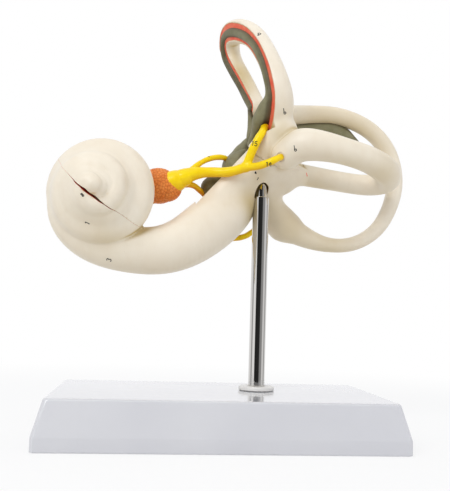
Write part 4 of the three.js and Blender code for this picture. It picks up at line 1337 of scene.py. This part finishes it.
def make_base():
    slope = TOP_INSET / (BASE_HEIGHT - SKIRT_HEIGHT)
    lean = math.atan(slope)
    corner = CORNER_RADIUS
    levels = [  # inset, radius of the corners, height
        (PLATE_LEDGE, 1.8, PLATE_THICKNESS + GAP), (PLATE_LEDGE, 1.8, 0.0), (0.5, 2.6, 0.0), (0.12, 2.9, 0.18),
        (0, corner, 0.6), (0, corner, 1.2), (0, corner, SKIRT_HEIGHT - 1.5), (0, corner, SKIRT_HEIGHT - 0.5),
        (slope * 0.18, corner, SKIRT_HEIGHT + 0.1), (slope * 0.8, corner, SKIRT_HEIGHT + 0.8),
    ]
    edge_start = BASE_HEIGHT - TOP_EDGE * (1 - math.sin(lean))
    levels.append((slope * (edge_start - 1.5 - SKIRT_HEIGHT), corner, edge_start - 1.5))
    middle = slope * (edge_start - SKIRT_HEIGHT) + TOP_EDGE * math.cos(lean)
    for angle in np.linspace(lean, math.pi / 2, 8):
        inset, height = middle - TOP_EDGE * math.cos(angle), BASE_HEIGHT - TOP_EDGE + TOP_EDGE * math.sin(angle)
        levels.append((inset, corner, height))
    levels += [(middle + 0.8, 2.4, BASE_HEIGHT), (middle + 6, 1.5, BASE_HEIGHT)]
    base = rings_to_mesh("white_base", [outline(*level) for level in levels], WHITE)
    finish_piece(base, STAND, "base_shell", slot="gloss_white", angle=50)


def make_plate():
    inset = PLATE_LEDGE + GAP
    levels = ((0.5, 0.0), (0.15, 0.12), (0, 0.5), (0, PLATE_THICKNESS - 0.4), (0.4, PLATE_THICKNESS))
    rings = [outline(inset + bevel, 1.5, height) for bevel, height in levels]
    plate = rings_to_mesh("under_plate", rings, PLATE)
    finish_piece(plate, STAND, "bottom_plate", slot="plate_grey")


def make_collar():
    bore = POST_RADIUS + GAP
    profile = [(bore, COLLAR_BOTTOM), (COLLAR_RADIUS - 0.3, COLLAR_BOTTOM),
               (COLLAR_RADIUS, COLLAR_BOTTOM + 0.3), *round_edge(COLLAR_RADIUS, COLLAR_TOP, 1.1, 8),
               (bore + 0.35, COLLAR_TOP), (bore, COLLAR_TOP - 0.35)]
    collar = turned_round("white_collar", profile, COLLAR_WHITE)
    finish_piece(collar, STAND, "post_collar", slot="gloss_white")


def make_tube():
    profile = [(POST_BORE, POST_FOOT), (POST_RADIUS, POST_FOOT), (POST_RADIUS, POST_TOP - 1.2),
               *round_edge(POST_RADIUS, POST_TOP, 0.5), (POST_BORE + 0.2, POST_TOP),
               (POST_BORE, POST_TOP - 0.2)]
    tube_piece = turned_round("chrome_tube", profile, CHROME)
    finish_piece(tube_piece, STAND, "post_tube", slot="chrome")


def make_rod():
    bevel = 0.4
    profile = [(ROD_RADIUS - bevel, ROD_FOOT), (ROD_RADIUS, ROD_FOOT + bevel),
               *round_edge(ROD_RADIUS, ROD_TOP, bevel)]
    rod = turned_round("sliding_rod", profile, CHROME, 64)
    finish_piece(rod, ROD, "support_rod", slot="chrome")


def make_sleeve():
    profile = [(ROD_RADIUS + GAP, SOCKET_BOTTOM), (SOCKET_RADIUS - 0.2, SOCKET_BOTTOM),
               (SOCKET_RADIUS, SOCKET_BOTTOM + 0.2), (SOCKET_RADIUS, SOCKET_TOP - 0.3),
               (SOCKET_RADIUS - 0.3, SOCKET_TOP)]
    sleeve = turned_round("socket_sleeve", profile, BROWN, 64)
    finish_piece(sleeve, LABYRINTH, "rod_socket", slot="sleeve_brown")


def make_fastening():
    for node in ("post_plug", "post_washer", "post_screw"):
        frame["nodes"][node].data.materials.clear()
        frame["nodes"][node].data.materials.append(STEEL)


def make_pegs():
    for number, side in ((1, -1), (2, 1)):
        finish_piece(peg(f"cover_peg_{number}", side, STEEL), LABYRINTH, f"lid_peg_{number}", slot="steel")


# Camera

EYE = (-43.1, -419.5, 72.6)
EYE_ANGLES = (6.08, 5.52, 1.76)  # degrees to the right, up and turned over to the left
PICTURE_HEIGHT, FOCAL_LENGTH = 491, 698  # pixels
SENSOR = 36


def camera_matrix():
    yaw, pitch, roll = np.radians(EYE_ANGLES)
    ahead = Vector((math.sin(yaw) * math.cos(pitch), math.cos(yaw) * math.cos(pitch), math.sin(pitch)))
    level = Vector((math.cos(yaw), -math.sin(yaw), 0))
    rise = level.cross(ahead)
    right = math.cos(roll) * level + math.sin(roll) * rise
    up = -math.sin(roll) * level + math.cos(roll) * rise
    turn = Matrix((right, up, -ahead)).transposed().to_4x4()
    return Matrix.Translation(Vector(EYE) * MM) @ turn


def make_camera():
    data = bpy.data.cameras.new("camera")
    data.sensor_width = SENSOR
    data.lens = FOCAL_LENGTH / PICTURE_HEIGHT * SENSOR
    data.clip_start = 0.01
    made = bpy.data.objects.new("camera", data)
    made.matrix_world = camera_matrix()
    bpy.context.scene.collection.objects.link(made)
    bpy.context.scene.camera = made


# Light and floor

STUDIO = [  # what the chrome mirrors: degrees to the right of the camera's side, brightness
    (-180, 1.0), (-110, 0.9), (-96, 0.35), (-84, 0.45), (-79, 1.0), (-48, 1.0), (-43, 0.02), (18, 0.03),
    (24, 0.3), (54, 0.35), (62, 0.85), (86, 0.8), (92, 0.35), (106, 0.5), (122, 1.0), (180, 1.0),
]


def studio_round(room):
    """White walls with a dark gap round the camera, white again overhead."""
    sides = room.node("ShaderNodeSeparateXYZ", values={0: room.place}).outputs
    front = -1 * Amount(room, sides["Y"])
    bearing = room.node("ShaderNodeMath", {"operation": "ARCTAN2"}, {0: sides["X"], 1: front})
    share = room.node("ShaderNodeMapRange", values={"Value": bearing.outputs[0], "From Min": -math.pi,
                                                    "From Max": math.pi})
    stops = [((angle + 180) / 360, (level, level, level * 1.02, 1)) for angle, level in STUDIO]
    ramp = room.node("ShaderNodeValToRGB", {"stops": stops}, {0: share.outputs[0]})
    over = room.node("ShaderNodeMapRange", values={"Value": sides["Z"], "From Min": 0.45, "From Max": 0.75})
    return room.mix(over.outputs[0], ramp.outputs["Color"], (1, 1, 1))


def make_room():
    """Soft light all round; the chrome mirrors the studio, and the camera sees white."""
    world = bpy.data.worlds.new("room")
    bpy.context.scene.world = world
    world.use_nodes = True
    room = Nodes(world.node_tree, "Generated")
    shown = room.tree.nodes["Background"]
    room.feed(shown.inputs["Color"], (0.94, 0.96, 1, 1))
    room.feed(shown.inputs["Strength"], 0.57)
    rays = room.node("ShaderNodeLightPath")
    for kind, colour in (("Is Glossy Ray", studio_round(room)), ("Is Camera Ray", (1, 1, 1, 1))):
        look = room.node("ShaderNodeBackground", values={"Color": colour})
        shown = room.node("ShaderNodeMixShader", values={0: rays.outputs[kind], 1: shown.outputs[0],
                                                         2: look.outputs[0]})
    room.feed(room.tree.nodes["World Output"].inputs[0], shown.outputs[0])


def make_lamps():
    for name, place, aim, size, power in (
        ("key", (-700, -900, 900), (-10, 0, 150), 700, 7),
        ("fill", (900, -700, 500), (0, 0, 150), 800, 2.5),
        ("top", (0, 200, 1300), (0, 0, 150), 900, 3),
    ):
        data = bpy.data.lights.new(name, "AREA")
        data.shape = "DISK"
        data.size = size * MM
        data.energy = power
        lamp = bpy.data.objects.new(name, data)
        lamp.location = Vector(place) * MM
        lamp.rotation_euler = (Vector(aim) - Vector(place)).to_track_quat("-Z", "Y").to_euler()
        lamp.visible_glossy = name == "key"
        bpy.context.scene.collection.objects.link(lamp)


def pale_floor():
    """Grey near the stand and white further off, as a lit sweep of paper looks."""
    f = Finish("pale_floor", Roughness=0.9, Base_Color=(*rgb(243, 243, 244), 1))
    glow = f.node("ShaderNodeEmission", values={"Color": (1, 1, 1, 1), "Strength": 1.0})
    rays = f.node("ShaderNodeLightPath")
    away = f.node("ShaderNodeVectorMath", {"operation": "LENGTH"}, {0: f.place})
    far = Amount(f, away.outputs["Value"]).between(0.22, 0.6)
    seen = Amount(f, rays.outputs["Is Camera Ray"]) * (0.78 + 0.22 * far)
    mix = f.node("ShaderNodeMixShader", values={0: seen, 1: f.shader.outputs[0], 2: glow.outputs[0]})
    f.feed(f.tree.nodes["Material Output"].inputs[0], mix.outputs[0])
    return f.material


def make_floor():
    size, drop = 6000.0, 0.2
    points = np.array([(-size, -size, -drop), (size, -size, -drop), (size, size, -drop), (-size, size, -drop)])
    floor = object_of(mesh_of("floor", points, [(0, 1, 2, 3)], pale_floor()))
    floor.visible_glossy = False


# The whole scene, in order

def make_bony_pieces():
    """The cream castings, each with its body and node; the cutters go when all are cut."""
    bony = [
        (make_body(), LABYRINTH, "labyrinth_body"),
        (make_cover(), LID, "cochlea_lid"),
        (make_anterior_canal(), LABYRINTH, "anterior_canal"),
        (make_posterior_canal(), LABYRINTH, "posterior_canal"),
        (make_lateral_canal(), LABYRINTH, "lateral_canal"),
    ]
    kept = {piece for piece, _, _ in bony} | set(frame["nodes"].values())
    discard(*[o for o in bpy.data.objects if o.type == "MESH" and o not in kept])
    for piece, body, node in bony:
        # Painted shade: tan in recesses, on downward faces and round the listed spots
        paint_shade_and_tone(piece, 0.8, PAINTED_SHADE_SPOTS, under=0.27)
        finish_piece(piece, body, node, slot="bone")
    return bony


castings = make_bony_pieces()
make_membranes()
make_nerves()
make_numerals(castings)
make_base()
make_plate()
make_collar()
make_tube()
make_rod()
make_sleeve()
make_fastening()
make_pegs()
make_camera()
make_room()
make_lamps()
make_floor()
bpy.context.scene.view_settings.view_transform = "Standard"
